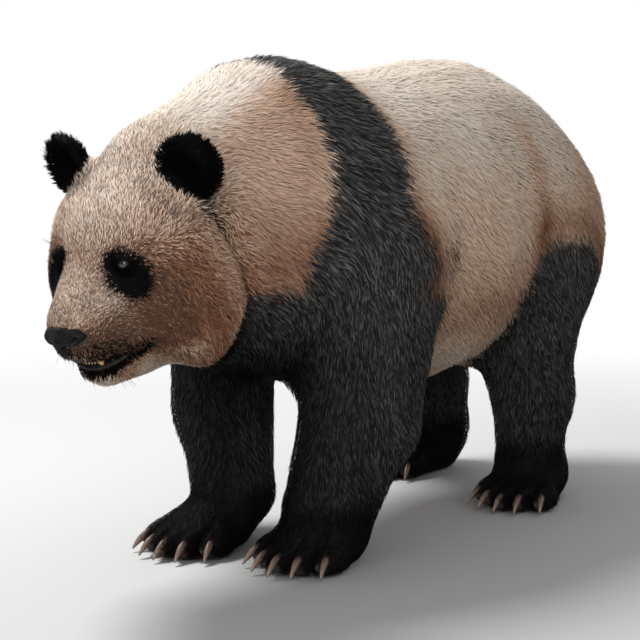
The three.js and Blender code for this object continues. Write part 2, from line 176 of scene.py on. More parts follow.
area_lamp("key", from_body(-1.25, -0.5, 2.5), BODY_MIDDLE, **KEY)
fill = area_lamp("fill", from_body(-0.2, 3.3, 1.2), BODY_MIDDLE, **FILL)

world = bpy.data.worlds.new("studio")
bpy.context.scene.world = world
world.use_nodes = True
tree = world.node_tree
background = tree.nodes["Background"]
background.inputs["Color"].default_value = (1, 1, 1, 1)
wire(tree, map_range(tree, seen_directly(tree), 0, 1, WORLD_LIGHT, 1), background, "Strength")
print("fill lamp at", [round(x, 2) for x in fill.location])

# %% [markdown]
# The floor is pale and wide. It keeps the animal's soft shadow, and further out it fades into the white
# of the background, for what the camera sees only. The fill lamp leaves the floor out, because it would
# throw a second shadow there and wash the first one away.

# %% Floor
FLOOR_HALF, FLOOR_GREY = 14.0, 0.62
FADE_MIDDLE, FADE_NEAR, FADE_FAR = (0.45, -0.45, 0), 1.0, 3.2


def mesh_from(bm, name):
    """The bmesh made a mesh, and freed."""
    mesh = bpy.data.meshes.new(name)
    bm.to_mesh(mesh)
    bm.free()
    return mesh


bm = bmesh.new()
bmesh.ops.create_grid(bm, x_segments=8, y_segments=8, size=FLOOR_HALF)
floor = bpy.data.objects.new("floor", mesh_from(bm, "floor"))
bpy.context.scene.collection.objects.link(floor)

floor_material, tree, matte = new_material("floor", 0.9, 0.1)
matte.inputs["Base Color"].default_value = (FLOOR_GREY, FLOOR_GREY, FLOOR_GREY, 1)
white = add_node(tree, "ShaderNodeEmission")
shifted = add_node(tree, "ShaderNodeVectorMath", operation="SUBTRACT")
wire(tree, object_place(tree), shifted, 0)
wire(tree, FADE_MIDDLE, shifted, 1)
far = add_node(tree, "ShaderNodeVectorMath", operation="LENGTH")
wire(tree, shifted.outputs[0], far, 0)
fade = map_range(tree, far.outputs["Value"], FADE_NEAR, FADE_FAR, way="SMOOTHSTEP")
mixed = add_node(tree, "ShaderNodeMixShader")
wire(tree, calculate(tree, "MULTIPLY", fade, seen_directly(tree)), mixed, "Fac")
wire(tree, matte.outputs[0], mixed, 1)
wire(tree, white.outputs[0], mixed, 2)
wire(tree, mixed.outputs[0], tree.nodes["Material Output"], "Surface")
floor.data.materials.append(floor_material)

unlit_by_fill = bpy.data.collections.new("unlit_by_fill")
unlit_by_fill.objects.link(floor)
unlit_by_fill.collection_objects[0].light_linking.link_state = "EXCLUDE"
fill.light_linking.receiver_collection = unlit_by_fill
print("floor", FLOOR_HALF * 2, "m across, white from", FADE_FAR, "m on")

# %% [markdown]
# ## The head's own frame
# The head is tipped nose-down, so places on the face are easiest to say in a frame that tips with it:
# how far out to the side, how far forward towards the nose, and how far up. The two eye solids fix it.

# %% Head frame
HEAD_TIP = math.radians(25)
EYE_FORWARD, EYE_UP, EYE_OUT, EYE_RADIUS = 84, 12, 62, 12
forward = np.array([0, -math.cos(HEAD_TIP), -math.sin(HEAD_TIP)])
upward = np.array([0, -math.sin(HEAD_TIP), math.cos(HEAD_TIP)])


def middle_of(node):
    low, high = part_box(node)
    return np.array([(a + b) / 2 for a, b in zip(low, high)])


eye_place = {side: middle_of(f"eye_{side}") for side in SIDES}
between_eyes = (eye_place["left"] + eye_place["right"]) / 2
head_origin = between_eyes - (forward * EYE_FORWARD + upward * EYE_UP) * MM


def in_head(points):
    """Points of the part's frame in the head's: side, forward and up, in millimetres."""
    away = (points - head_origin) / MM
    return away[..., 0], away @ forward, away @ upward


def head_point(side, ahead, up):
    return head_origin + (np.array([side, 0, 0]) + forward * ahead + upward * up) * MM


def head_vector(parts):
    """A direction given in the head's side, forward and up, as one of the part's frame."""
    return parts[..., :1] * np.array([1, 0, 0]) + parts[..., 1:2] * forward + parts[..., 2:3] * upward


def head_distance(points, place):
    """How far points lie from a place of the head, given once for both sides, in millimetres."""
    side, ahead, up = in_head(points)
    return np.sqrt((np.abs(side) - place[0]) ** 2 + (ahead - place[1]) ** 2 + (up - place[2]) ** 2)


def eye_distance(points):
    return head_distance(points, (EYE_OUT, EYE_FORWARD, EYE_UP))


print("head origin", head_origin.round(3), "eyes at", [p.round(3) for p in eye_place.values()])

# %% [markdown]
# ## Small tools for meshes
# The skin is smoothed, lowered and shaped by moving its vertices. Each vertex looks at its neighbours,
# so a table of neighbours comes first. Smoothing forward and then a little backward takes the flat
# facets out of a form without letting it shrink. Every marking and every dent is then written with two
# soft shapes: a step, which rises from 0 to 1, and a bell, which is 1 in the middle of a hump.

# %% Mesh tools
def read(items, name, width, kind=np.float32):
    """One property of many items, as an array with a row for each."""
    values = np.empty(len(items) * width, kind)
    items.foreach_get(name, values)
    return values.reshape(-1, width)


def write(items, name, values, kind=np.float32):
    items.foreach_set(name, np.asarray(values, kind).ravel())


def corners_of(mesh):
    return read(mesh.vertices, "co", 3).astype(float)


def normals_of(mesh):
    return read(mesh.vertex_normals, "vector", 3).astype(float)


def place_corners(mesh, points):
    write(mesh.vertices, "co", points)
    mesh.update()


def shade_smooth(mesh):
    write(mesh.polygons, "use_smooth", np.ones(len(mesh.polygons)), bool)


def neighbour_table(mesh):
    """For each vertex the numbers of its neighbours, filled up with its own, and how many it has."""
    ends = read(mesh.edges, "vertices", 2, np.int32)
    pairs = np.concatenate([ends, ends[:, ::-1]])
    pairs = pairs[np.argsort(pairs[:, 0], kind="stable")]
    count = np.bincount(pairs[:, 0], minlength=len(mesh.vertices))
    first = np.concatenate([[0], np.cumsum(count)[:-1]])
    table = np.repeat(np.arange(len(mesh.vertices))[:, None], count.max(), axis=1)
    table[pairs[:, 0], np.arange(len(pairs)) - first[pairs[:, 0]]] = pairs[:, 1]
    return table, count


def neighbour_mean(values, table, count):
    total = values[table].sum(axis=1) - (table.shape[1] - count)[:, None] * values
    return total / np.maximum(count, 1)[:, None]


def smooth(values, table, count, rounds, amount=0.5, back=0.0, weight=1.0):
    """Smoothed values. With back a little over amount, a form keeps its size."""
    for _ in range(rounds):
        values = values + weight * amount * (neighbour_mean(values, table, count) - values)
        if back:
            values = values - weight * back * (neighbour_mean(values, table, count) - values)
    return values


def step(low, high, x):
    """0 below low, 1 above high and a soft rise between; with low above high it falls instead."""
    t = np.clip((x - low) / (high - low), 0, 1)
    return t * t * (3 - 2 * t)


def bell(x, middle, width):
    """1 at the middle, falling softly to either side."""
    return np.exp(-(((x - middle) / width) ** 2))


def strongest(*values):
    return np.max(values, axis=0)


def unit(vectors):
    return vectors / np.maximum(np.linalg.norm(vectors, axis=-1, keepdims=True), 1e-9)


def add_object(name, mesh, slot, *replaced):
    piece = bpy.data.objects.new(name, mesh)
    bpy.context.scene.collection.objects.link(piece)
    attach(piece, "root")
    if replaced:
        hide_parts(*replaced)
    return piece

# %% [markdown]
# ## Skin
# The flesh solids are thinly cut apart. Copies of them, each grown by half a millimetre, overlap, and a
# voxel remesh turns them into one closed skin. Nose and eyes go in as well, a little shrunk, so that
# their sockets close. The skin is then relaxed until the facets of the solids are gone.

# %% Join the flesh
LEGS = [f"{end}leg_{side}" for end in ("fore", "hind") for side in SIDES]
PAWS = [f"{end}paw_{side}" for end in ("fore", "hind") for side in SIDES]
EARS = [f"ear_{side}" for side in SIDES]
FLESH = ["trunk", "tail", "neck", "head", "lower_jaw", *EARS, *LEGS, *PAWS]
FILLING = ["nose", "eye_left", "eye_right", "mouth"]
GROWN, SHRUNK = 0.5 * MM, -1.5 * MM
MOUTH_UP, MOUTH_CORNER, MOUTH_OPENING = -105, 100, math.tan(math.radians(14.5))
MOUTH_LENS = {"ahead": 100, "up": -112, "round": 57, "thick": 13}
TEETH_FROM, TEETH_OUT = 125, 40


def welded(node):
    bm = bmesh.new()
    bm.from_mesh(nodes[node].data)
    bmesh.ops.remove_doubles(bm, verts=bm.verts, dist=1e-5)
    bm.normal_update()
    return bm


def without_teeth(bm):
    """Cuts off what hangs below the upper lip, and closes the lip."""
    for vert in list(bm.verts):
        side, ahead, up = in_head(np.array(vert.co))
        if ahead > TEETH_FROM and abs(side) < TEETH_OUT and up < MOUTH_UP - 1:
            bm.verts.remove(vert)
    bmesh.ops.holes_fill(bm, edges=[e for e in bm.edges if e.is_boundary])


def mouth_filling():
    """A lens that fills the mouth out to just behind the lips, which are shaped later."""
    bm = bmesh.new()
    bmesh.ops.create_uvsphere(bm, u_segments=32, v_segments=16, radius=1)
    for vert in bm.verts:
        side, ahead, up = vert.co
        ahead = MOUTH_LENS["ahead"] + ahead * MOUTH_LENS["round"]
        up = MOUTH_LENS["up"] + up * MOUTH_LENS["thick"]
        vert.co = head_point(side * MOUTH_LENS["round"], ahead, up)
    bmesh.ops.recalc_face_normals(bm, faces=bm.faces)
    return bm


flesh = bmesh.new()
owner_of_face = []
for number, node in enumerate(FLESH + FILLING):
    bm = mouth_filling() if node == "mouth" else welded(node)
    if node == "head":
        without_teeth(bm)
    bm.normal_update()
    for vert in bm.verts:
        vert.co += vert.normal * (GROWN if node in FLESH else SHRUNK)
    part = mesh_from(bm, node + "_copy")
    flesh.from_mesh(part)
    owner_of_face += [number] * len(part.polygons)
    bpy.data.meshes.remove(part)
flesh_tree = BVHTree.FromBMesh(flesh)
flesh_mesh = mesh_from(flesh, "flesh")
print("joined", len(FLESH), "solids,", len(flesh_mesh.polygons), "faces")

# %% [markdown]
# The remesh lays a grid of small cubes over the joined solids and draws one even surface round all that
# is filled. Should it close off a pocket inside, only the outer shell is kept.

# %% Remesh
VOXEL = 9.0 * MM


def voxel_remeshed(mesh, voxel):
    rough = bpy.data.objects.new(mesh.name, mesh)
    bpy.context.scene.collection.objects.link(rough)
    remesh = rough.modifiers.new("remesh", "REMESH")
    remesh.mode = "VOXEL"
    remesh.voxel_size = voxel
    graph = bpy.context.evaluated_depsgraph_get()
    fine = bpy.data.meshes.new_from_object(rough.evaluated_get(graph))
    bpy.data.objects.remove(rough)
    return fine


def largest_island(mesh):
    """Leaves only the largest shell, and says how many there were."""
    table, _ = neighbour_table(mesh)
    label = np.arange(len(mesh.vertices))
    while True:
        lowest = label[table].min(axis=1)
        lowest = lowest[lowest]
        if (lowest == label).all():
            break
        label = lowest
    values, sizes = np.unique(label, return_counts=True)
    bm = bmesh.new()
    bm.from_mesh(mesh)
    keep = label == values[sizes.argmax()]
    bmesh.ops.delete(bm, geom=[v for v in bm.verts if not keep[v.index]], context="VERTS")
    bm.to_mesh(mesh)
    bm.free()
    return len(values)


skin_mesh = voxel_remeshed(flesh_mesh, VOXEL)
skin_mesh.name = "skin"
print("remeshed to", len(skin_mesh.polygons), "faces, islands found", largest_island(skin_mesh))

# %% [markdown]
# Coat and markings differ from one part of the body to the next. So every vertex of the skin asks which
# solid is nearest. The answers are blended over the joins, so that nothing changes along a sharp line.

# %% Which solid is nearest
def nearest_flesh(points):
    """The number of the solid nearest to each point."""
    return np.array([owner_of_face[flesh_tree.find_nearest(Vector(p))[2]] for p in points])


GROUPS = {
    "trunk": ["trunk"],
    "tail": ["tail"],
    "neck": ["neck"],
    "head": ["head", "nose", "eye_left", "eye_right", "mouth"],
    "jaw": ["lower_jaw"],
    "ear": EARS,
    "leg": LEGS,
    "paw": PAWS,
}


def group_shares(mesh, rounds):
    """For each group a value per vertex: 1 on its own solids, 0 on the others, blended over the joins."""
    owners = nearest_flesh(corners_of(mesh))
    names = FLESH + FILLING
    shares = [np.isin(owners, [names.index(name) for name in members]) for members in GROUPS.values()]
    return dict(zip(GROUPS, smooth(np.array(shares, float).T, *neighbour_table(mesh), rounds).T))


def face_share(shares):
    return np.clip(shares["head"] + shares["jaw"], 0, 1)

# %% [markdown]
# The broad forms of trunk, neck and legs are relaxed much longer than head and feet, whose small forms
# would melt away.

# %% Relax the facets
BROAD_ROUNDS, FINE_ROUNDS = 60, 8

points = corners_of(skin_mesh)
table, count = neighbour_table(skin_mesh)
shares = group_shares(skin_mesh, 8)
broad = (shares["trunk"] + shares["neck"] + shares["leg"])[:, None]
points = smooth(points, table, count, BROAD_ROUNDS, 0.55, 0.57, broad)
points = smooth(points, table, count, FINE_ROUNDS, 0.5, 0.52)
place_corners(skin_mesh, points)
print("relaxed", len(points), "vertices")

# %% [markdown]
# The coat is long on the trunk and neck, shorter on the legs and crown, and only a few millimetres deep
# on the muzzle, the lids and the feet. The skin sinks by that depth along its own normals.

# %% Sink the skin by the depth of the coat
COAT_DEPTH = {"trunk": 6.5, "tail": 10, "neck": 7.5, "head": 8, "jaw": 4, "ear": 5, "leg": 7, "paw": 3.5}
MUZZLE_DEPTH, CHEEK_DEPTH, SOLE_DEPTH, LID_DEPTH = 2.5, 8, 0.5, 2.5


def coat_depth(points, shares):
    """How deep the skin lies under the solids' surface, in millimetres."""
    depth = sum(shares[name] * COAT_DEPTH[name] for name in GROUPS)
    side, ahead, up = in_head(points)
    face = face_share(shares)
    muzzle = face * step(75, 125, ahead + 0.25 * np.abs(side))
    muzzle = np.maximum(muzzle, face * step(85, 105, ahead) * step(-70, -95, up))
    depth = depth + muzzle * (MUZZLE_DEPTH - depth)
    depth = depth + step(40, 20, eye_distance(points)) * np.minimum(LID_DEPTH - depth, 0)
    chin = face * step(-100, -112, up)
    depth = depth + chin * step(90, 60, ahead) * (CHEEK_DEPTH - depth)
    return depth + step(14, 6, points[:, 2] / MM) * np.minimum(SOLE_DEPTH - depth, 0)


shares = group_shares(skin_mesh, 30)
depth = smooth(coat_depth(points, shares)[:, None], table, count, 4)
points = points - normals_of(skin_mesh) * depth * MM
points = smooth(points, table, count, 6, 0.5, 0.52)
place_corners(skin_mesh, points)
print("coat depth", depth.min().round(1), "to", depth.max().round(1), "mm")

# %% [markdown]
# ## Face
# Lids, lips and toes need finer faces than the body does, so only those places are subdivided. The
# details are then pressed in or raised by formulas in the head's frame, as a sculptor's tools would.

# %% Finer faces where there is detail
def refine(mesh, chosen):
    """Splits each face whose corners are all chosen into four."""
    mask = chosen(corners_of(mesh))
    bm = bmesh.new()
    bm.from_mesh(mesh)
    edges = {e for f in bm.faces if all(mask[v.index] for v in f.verts) for e in f.edges}
    bmesh.ops.subdivide_edges(bm, edges=list(edges), cuts=1, use_grid_fill=True)
    bm.to_mesh(mesh)
    bm.free()


def settle(mesh, points, chosen, rounds, amount=0.5, back=0.52):
    """Smooths the chosen points, gives them all to the mesh and returns them."""
    weight = chosen[:, None].astype(float)
    points = smooth(points, *neighbour_table(mesh), rounds, amount, back, weight)
    place_corners(mesh, points)
    return points


def on_face(points):
    _, ahead, up = in_head(points)
    return (ahead > 30) & (up < 60)


def on_paws(points):
    return (points[:, 2] < 70 * MM) & ((points[:, 1] < -200 * MM) | (points[:, 1] > 150 * MM))


def on_mouth(points):
    side, ahead, up = in_head(points)
    return (ahead > 84) & (up < -92) & (up > -138) & (np.abs(side) < 75)


def on_eyes(points):
    return eye_distance(points) < 30


def on_lids(points):
    return eye_distance(points) < 24


refine(skin_mesh, on_face)
refine(skin_mesh, on_paws)
points = corners_of(skin_mesh)
settle(skin_mesh, points, on_face(points) | on_paws(points), 6)
refine(skin_mesh, on_mouth)
refine(skin_mesh, on_mouth)
refine(skin_mesh, on_eyes)
refine(skin_mesh, on_lids)
points = corners_of(skin_mesh)
settle(skin_mesh, points, on_mouth(points) | on_eyes(points), 8)
print("skin now has", len(skin_mesh.polygons), "faces")

# %% [markdown]
# The eye is a ball in its socket. The lids lie on a slightly larger ball around the same middle, and
# part in an almond: inside it the skin drops behind the eyeball, at its rim the lid ends in a fine edge.

# %% Eyelids
LID_RADIUS, SOCKET_RADIUS = 13.3, 8.5
ALMOND = {"half": 5.3, "top": 2.4, "bottom": 3.1}


def eye_frame(side):
    """The directions of an eye, in the head's side, forward and up: its gaze, outer corner and top."""
    gaze = unit(np.array([side * 0.50, 0.80, 0.30]))
    outer = unit(np.array([side * 0.86, -0.5, 0.12]))
    outer = unit(outer - gaze * (outer @ gaze))
    return gaze, outer, np.cross(gaze, outer) * side * -1


def almond_edge(along, over):
    """How far a point lies inside the gap between the lids, in millimetres; outside it is negative."""
    arc = np.clip(1 - (along / ALMOND["half"]) ** 2, 0, None)
    inside = np.minimum(ALMOND["top"] * arc**0.75 - over, over + ALMOND["bottom"] * arc)
    return np.where(np.abs(along) < ALMOND["half"], inside, -np.hypot(np.abs(along) - ALMOND["half"], over))


def eye_local(points, side):
    gaze, outer, top = eye_frame(side)
    away = np.stack(in_head(points), axis=-1) - np.array([side * EYE_OUT, EYE_FORWARD, EYE_UP])
    return away @ outer, away @ top, away @ gaze


points = corners_of(skin_mesh)
for side in SIDES.values():
    gaze, _, _ = eye_frame(side)
    along, over, out = eye_local(points, side)
    across = np.hypot(along, over)
    edge = almond_edge(along, over)
    ball = LID_RADIUS + 0.5 * step(-3, -1, edge) - 0.7 * bell(edge, -4.5, 1.3) * (over > 0)
    ball = ball + (SOCKET_RADIUS - ball) * step(-0.7, 0.5, edge)
    height = np.sqrt(np.maximum(ball**2 - np.minimum(across, 11) ** 2, 4))
    lid = step(21, 8.5, across) * (out > -8)
    move = lid * (height - out)
    points = points + move[:, None] * head_vector(gaze) * MM
place_corners(skin_mesh, points)
print("top of the left eye in the part's frame", head_vector(eye_frame(1)[2]).round(2))

# %% [markdown]
# The lips part a little towards the front. Between the two lip lines the skin is pressed back to make
# the mouth's dark inside, and the lower lip ends in a smooth, bare, rounded rim.

# %% Mouth
LIP_RIM, LIP_RISE = 4.4, 1.4
MOUTH_MIDDLE, MOUTH_DEPTH = 90, 22
CORNER_CREASE, LIP_GROOVE = 2.5, 2.2


def lip_lines(points):
    """Height above the upper lip's edge and above the lower lip's, how far out, and how far forward."""
    side, ahead, up = in_head(points)
    lower = MOUTH_UP - np.maximum(ahead - MOUTH_CORNER, 0) * MOUTH_OPENING
    return up - MOUTH_UP, up - lower, side, ahead


def mouth_gap(points):
    over_upper, over_lower, _, ahead = lip_lines(points)
    return step(1.0, -1.0, over_upper) * step(-1.0, 1.0, over_lower) * step(122, 136, ahead)


def lip_rim(points):
    _, over_lower, side, ahead = lip_lines(points)
    shape = np.exp(-(((over_lower + LIP_RIM / 2) / (LIP_RIM / 2)) ** 4))
    return shape * step(120, 134, ahead) * (np.abs(side) < 80)


points = corners_of(skin_mesh)
side, ahead, up = in_head(points)
towards_middle = np.stack([-side, MOUTH_MIDDLE - ahead, 0 * up], axis=-1)
distance = np.linalg.norm(towards_middle, axis=-1)
gap = mouth_gap(points) * (distance < MOUTH_MIDDLE)
pressed = gap * np.minimum(MOUTH_DEPTH, distance * 0.45)
raised = lip_rim(points) * LIP_RISE
crease = bell(up, MOUTH_UP, 2.2) * step(84, 92, ahead) * step(106, 98, ahead)
middle = (np.abs(side) < 12) * bell(side, 0, 2.2) * step(-104, -98, up) * step(-62, -72, up)
amount = pressed - raised + CORNER_CREASE * crease
amount = amount + LIP_GROOVE * middle * (ahead > 120)
points = points + head_vector(unit(towards_middle)) * amount[:, None] * MM
settle(skin_mesh, points, on_mouth(points) | (eye_distance(points) < 22), 2, 0.4, 0)
print("deepest point of the mouth is pressed in by", pressed.max().round(1), "mm")

# %% [markdown]
# The cheeks stand out from the neck. Behind each one the skin is drawn in along a fold, and the long hair
# of the cheek hangs over it.

# %% Cheek folds
FOLD = {"ahead": -55, "wide": 15, "deep": 13}


def fold_line(up):
    """How far forward the fold runs at each height, in millimetres of the head's frame."""
    return FOLD["ahead"] + 0.07 * up + 1.2 * np.maximum(-124 - up, 0)


def cheek_fold(points, wide=FOLD["wide"]):
    """1 along a line behind each cheek, from below the ear down and then forward under the jaw."""
    side, ahead, up = in_head(points)
    fold = bell(ahead, fold_line(up), wide) * step(62, 92, np.abs(side))
    return fold * step(45, 10, up) * step(-215, -185, up)


points = corners_of(skin_mesh)
points = points - normals_of(skin_mesh) * (cheek_fold(points) * FOLD["deep"])[:, None] * MM
place_corners(skin_mesh, points)
print("cheek folds reach", int((cheek_fold(points) > 0.5).sum()), "vertices")

# %% [markdown]
# Each foot ends in five toes. Between neighbouring claws the skin is drawn in, deepest at the front, so
# that every toe stands as its own soft lobe, with the claw growing out of its upper half.

# %% Toes
TOE_GROOVE, TOE_REACH, TOE_ROUND = 20, 56, 15
GROOVE_WAY, LOBE_WAY = np.array([0, 0.85, -0.35]), np.array([0, -1, 0])
SOLE_UP = 0.4 * MM


def claw_ends(node):
    """The middle of a claw's root and its tip, in metres."""
    spots = corners_of(nodes[node].data)
    back = spots[spots[:, 1] > spots[:, 1].max() - 1 * MM].mean(axis=0)
    front = spots[spots[:, 1] < spots[:, 1].min() + 1 * MM].mean(axis=0)
    return back, front


feet = [f"{end}_{side}" for end in ("fore", "hind") for side in SIDES]
claws = {foot: [claw_ends(f"claw_{foot}_{number}") for number in range(1, 6)] for foot in feet}
claw_roots = [root for ends in claws.values() for root, _ in ends]


def on_toes(points):
    """True in front of each paw's instep, near its claws."""
    x, y, z = points.T
    near = np.zeros(len(points), bool)
    for root in claw_roots:
        near |= (np.abs(x - root[0]) < 0.022) & (y < root[1] + 0.035) & (y > root[1] - 0.05)
    return near & (z < 0.075)


refine(skin_mesh, on_toes)
points = corners_of(skin_mesh)
for foot, ends in claws.items():
    low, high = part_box(foot.replace("_", "paw_"))
    mine = (points[:, 2] < high[2] + 0.03) & (np.abs(points[:, 0] - (low[0] + high[0]) / 2) < 0.14)
    mine &= (points[:, 1] > low[1] - 0.02) & (points[:, 1] < low[1] + 0.14)
    toes = np.array(sorted([tuple(root) for root, _ in ends]))
    for near, far in zip(toes[:-1], toes[1:]):
        valley = (near + far) / 2
        width = (far[0] - near[0]) / 2 / MM
        beside = (points[:, 0] - valley[0]) / MM
        behind = (points[:, 1] - max(near[1], far[1]) + 0.012) / MM
        groove = bell(beside, 0, 0.34 * width) * step(TOE_REACH, -5, behind)
        groove = groove * mine * step(2, 12, points[:, 2] / MM)
        points = points + groove[:, None] * GROOVE_WAY * TOE_GROOVE * MM
    for toe in toes:
        beside, behind = (points[:, 0] - toe[0]) / MM, (points[:, 1] - toe[1]) / MM
        lobe = np.exp(-((beside / 10) ** 2) - ((points[:, 2] / MM - 18) / 15) ** 2)
        lobe = lobe * step(30, -4, behind) * mine
        points = points + lobe[:, None] * LOBE_WAY * TOE_ROUND * MM
place_corners(skin_mesh, points)
points = settle(skin_mesh, points, on_paws(points), 3, 0.4, 0)
points[:, 2] = np.maximum(points[:, 2], SOLE_UP)
place_corners(skin_mesh, points)
print("claw roots of the left forepaw", [root.round(3).tolist() for root, _ in claws["fore_left"]])

# %% [markdown]
# ## Markings
# A giant panda is black on the ears, round the eyes, on the shoulder band with the forelegs, and on the
# hind legs. The rest is white in words only: cream on the back and crown, tan on the flanks and cheeks,
# with dark hairs mixed in on the face. Skin and coat read the same functions, so the markings agree
# where one shows through the other. Each returns 0 to 1 for every point it is given.

# %% Black
EDGE, SOFT_EDGE = 0.014, 0.026
BAND_FRONT, BAND_REAR, CHEST_TOP = -0.30, -0.136, 0.450
HIP_TOP, THIGH_FRONT, THIGH_SLANT = 0.493, 0.304, 0.44


def band_rear(z):
    return BAND_REAR - 0.022 * bell(z, 0.58, 0.09)


def shoulder_band(points):
    _, y, z = points.T
    front = BAND_FRONT + 0.03 * step(0.74, 0.80, z) + 0.009 * np.sin(z * 21)
    front = front - 0.035 * step(0.56, 0.47, z)
    behind_front = step(front - EDGE, front + EDGE, y)
    chest = step(CHEST_TOP + EDGE, CHEST_TOP - EDGE, z)
    low = bell(z, 0.48, 0.06)
    rear = band_rear(z) + 0.02 * step(0.40, 0.30, z) + 0.008 + 0.034 * low
    soft = SOFT_EDGE * (1 + low)
    band = np.maximum(behind_front, chest) * step(1, -1, (y - rear) / soft)
    # Painted shade behind the elbow: a half-black smudge where the flank lies in the foreleg's shade.
    elbow = np.exp(-(((y + 0.045) / 0.045) ** 2) - ((z - 0.475) / 0.06) ** 2)
    return np.maximum(band, 0.5 * elbow)


def foreleg_black(points, shares):
    """Below the elbow the whole of the leg is black, behind the band too."""
    _, y, z = points.T
    return np.clip(shares["leg"] * 1.8, 0, 1) * step(0.02, -0.03, y) * step(0.46, 0.40, z)


def hip_top(y):
    return HIP_TOP - 0.03 * step(0.26, 0.20, y) - 0.12 * step(0.38, 0.60, y)


def hind_black(points, shares):
    x, y, z = points.T
    top = hip_top(y)
    behind = 0.814 * np.abs(x) + 0.581 * y - THIGH_FRONT - THIGH_SLANT * (z - 0.386)
    low = step(top + SOFT_EDGE, top - SOFT_EDGE, z) * step(-EDGE, EDGE, behind)
    outer = step(0.05, 0.10, np.abs(x)) * step(0.66, 0.60, y)
    leg = np.clip(shares["leg"] * 1.6, 0, 1) * step(0.18, 0.22, y)
    leg = step(top + SOFT_EDGE, top - SOFT_EDGE, z) * leg * step(-0.05, 0, behind)
    return np.maximum(low * outer, leg)


PATCH_MIDDLE, PATCH_LEAN = (65, -4), math.radians(-49)
PATCH_LONG, PATCH_ABOVE, PATCH_BELOW = 43, 28, 17


def eye_patch(points):
    """A drop that leans out and down from the eye, straighter on its side towards the muzzle."""
    side, ahead, up = in_head(points)
    over, rise = np.abs(side) - PATCH_MIDDLE[0], up - PATCH_MIDDLE[1]
    along = over * math.cos(PATCH_LEAN) + rise * math.sin(PATCH_LEAN)
    across = -over * math.sin(PATCH_LEAN) + rise * math.cos(PATCH_LEAN)
    across = across / np.where(across > 0, PATCH_ABOVE, PATCH_BELOW)
    reach = np.sqrt((along / PATCH_LONG) ** 2 + across**2)
    return step(1.10, 0.92, reach) * step(30, 50, ahead)


def lips(points):
    """Dark hair under the nose, along the lips and on the front of the chin."""
    over_upper, over_lower, _, ahead = lip_lines(points)
    _, _, up = in_head(points)
    upper = step(112, 152, ahead + 0.5 * (-75 - up)) * step(-58, -84, up) * step(-116, -104, up)
    edge = step(16, 3, over_upper) * step(-6, 0, over_upper) * step(90, 106, ahead)
    lower = step(-37, -14, over_lower + 0.2 * (ahead - 150)) * step(2, -1, over_lower)
    lower = lower * step(88, 106, ahead)
    return np.clip(strongest(0.62 * upper, 0.75 * edge, 0.95 * lower), 0, 1)


def ear_base(points):
    """Dark hair at the foot of each ear, and painted shade that trails down along the fold behind the
    cheek.
    """
    side, ahead, up = in_head(points)
    away = np.sqrt((np.abs(side) - 121) ** 2 + (ahead + 52) ** 2 + ((up - 42) / 1.5) ** 2)
    fold_shade = cheek_fold(points, 27) * step(-90, 20, up) * step(12, -4, ahead - fold_line(up))
    return np.maximum(0.62 * step(34, 12, away), 0.50 * fold_shade)


def behind_fold(points):
    _, ahead, up = in_head(points)
    return step(4, -10, ahead - fold_line(up))


def black(points, shares):
    face = face_share(shares)
    body = strongest(shoulder_band(points), foreleg_black(points, shares), hind_black(points, shares))
    body = body * (1 - face * (1 - behind_fold(points))) * (1 - shares["tail"])
    feet = np.clip(shares["paw"] * 2, 0, 1)
    spots = strongest(eye_patch(points), lips(points), ear_base(points)) * np.minimum(1, 2 * face)
    ears = step(0.35, 0.6, shares["ear"])
    return np.clip(strongest(body, feet, spots, ears), 0, 1)


print("shoulder band from", BAND_FRONT, "to", BAND_REAR, "m, black of the hip up to", HIP_TOP, "m")

# %% [markdown]
# The pale parts aren't one colour. The coat is cream above and browner low on the flanks and cheeks, with
# a rusty fringe where it meets the black. Dark hairs are mixed in on the face, and the black itself is
# deepest on the ears, round the eyes and at the feet. Painted shade darkens the fold behind each cheek, the
# crease before the thigh, a smudge behind the elbow, and the forelegs' fronts and inner sides; painted
# light makes the rear rim of each cheek paler.

# %% Tan, dark hairs mixed in, painted shade and light
def swirl(points, size, seed):
    """Smooth, repeatable noise of about -1 to 1, whose waves are about size metres long."""
    turns = np.random.default_rng(seed).normal(size=(6, 3)) * 2 * math.pi / size
    phases = np.random.default_rng(seed + 1).random(6) * 2 * math.pi
    return np.sin(points @ turns.T + phases).sum(axis=1) / 2.4


def body_tan(points):
    """From cream on the back to brown low on the flank, a rusty fringe by the black, and painted shade
    before the thigh.
    """
    _, y, z = points.T
    tan = 0.14 + 0.34 * step(0.76, 0.46, z) + 0.30 * step(0.50, 0.36, z) - 0.46 * step(0.39, 0.29, z)
    fringe = bell(y - band_rear(z), 0.01, 0.028) * step(0.86, 0.74, z)
    # Painted shade: browner along the crease between the belly and the thigh.
    thigh_shade = bell(y, 0.245, 0.035) * step(0.36, 0.48, z) * step(0.78, 0.64, z)
    behind_band = step(0.11, 0.02, y - band_rear(z)) * step(0.62, 0.50, z)
    hip = bell(z - hip_top(y), 0.03, 0.035) * step(0.18, 0.25, y)
    rear = 0.16 * step(0.30, 0.45, y) * step(0.78, 0.66, z)
    return np.clip(tan + 0.22 * fringe + 0.28 * thigh_shade + 0.42 * behind_band + 0.26 * hip + rear, 0, 1)


def neck_tan(points):
    """Pale along the ridge of the neck and tan to either side, with painted shade in the fold behind each
    cheek.
    """
    x, y, z = points.T
    ridge = step(0.05, 0.11, np.abs(x))
    fringe = bell(y - BAND_FRONT, -0.01, 0.02)
    low = 0.34 * step(0.62, 0.47, z)
    # The cheek_fold term is painted shade: browner in the fold behind each cheek.
    return np.clip(0.08 + 0.50 * ridge + low + 0.12 * fringe * ridge + 0.25 * cheek_fold(points), 0, 1)


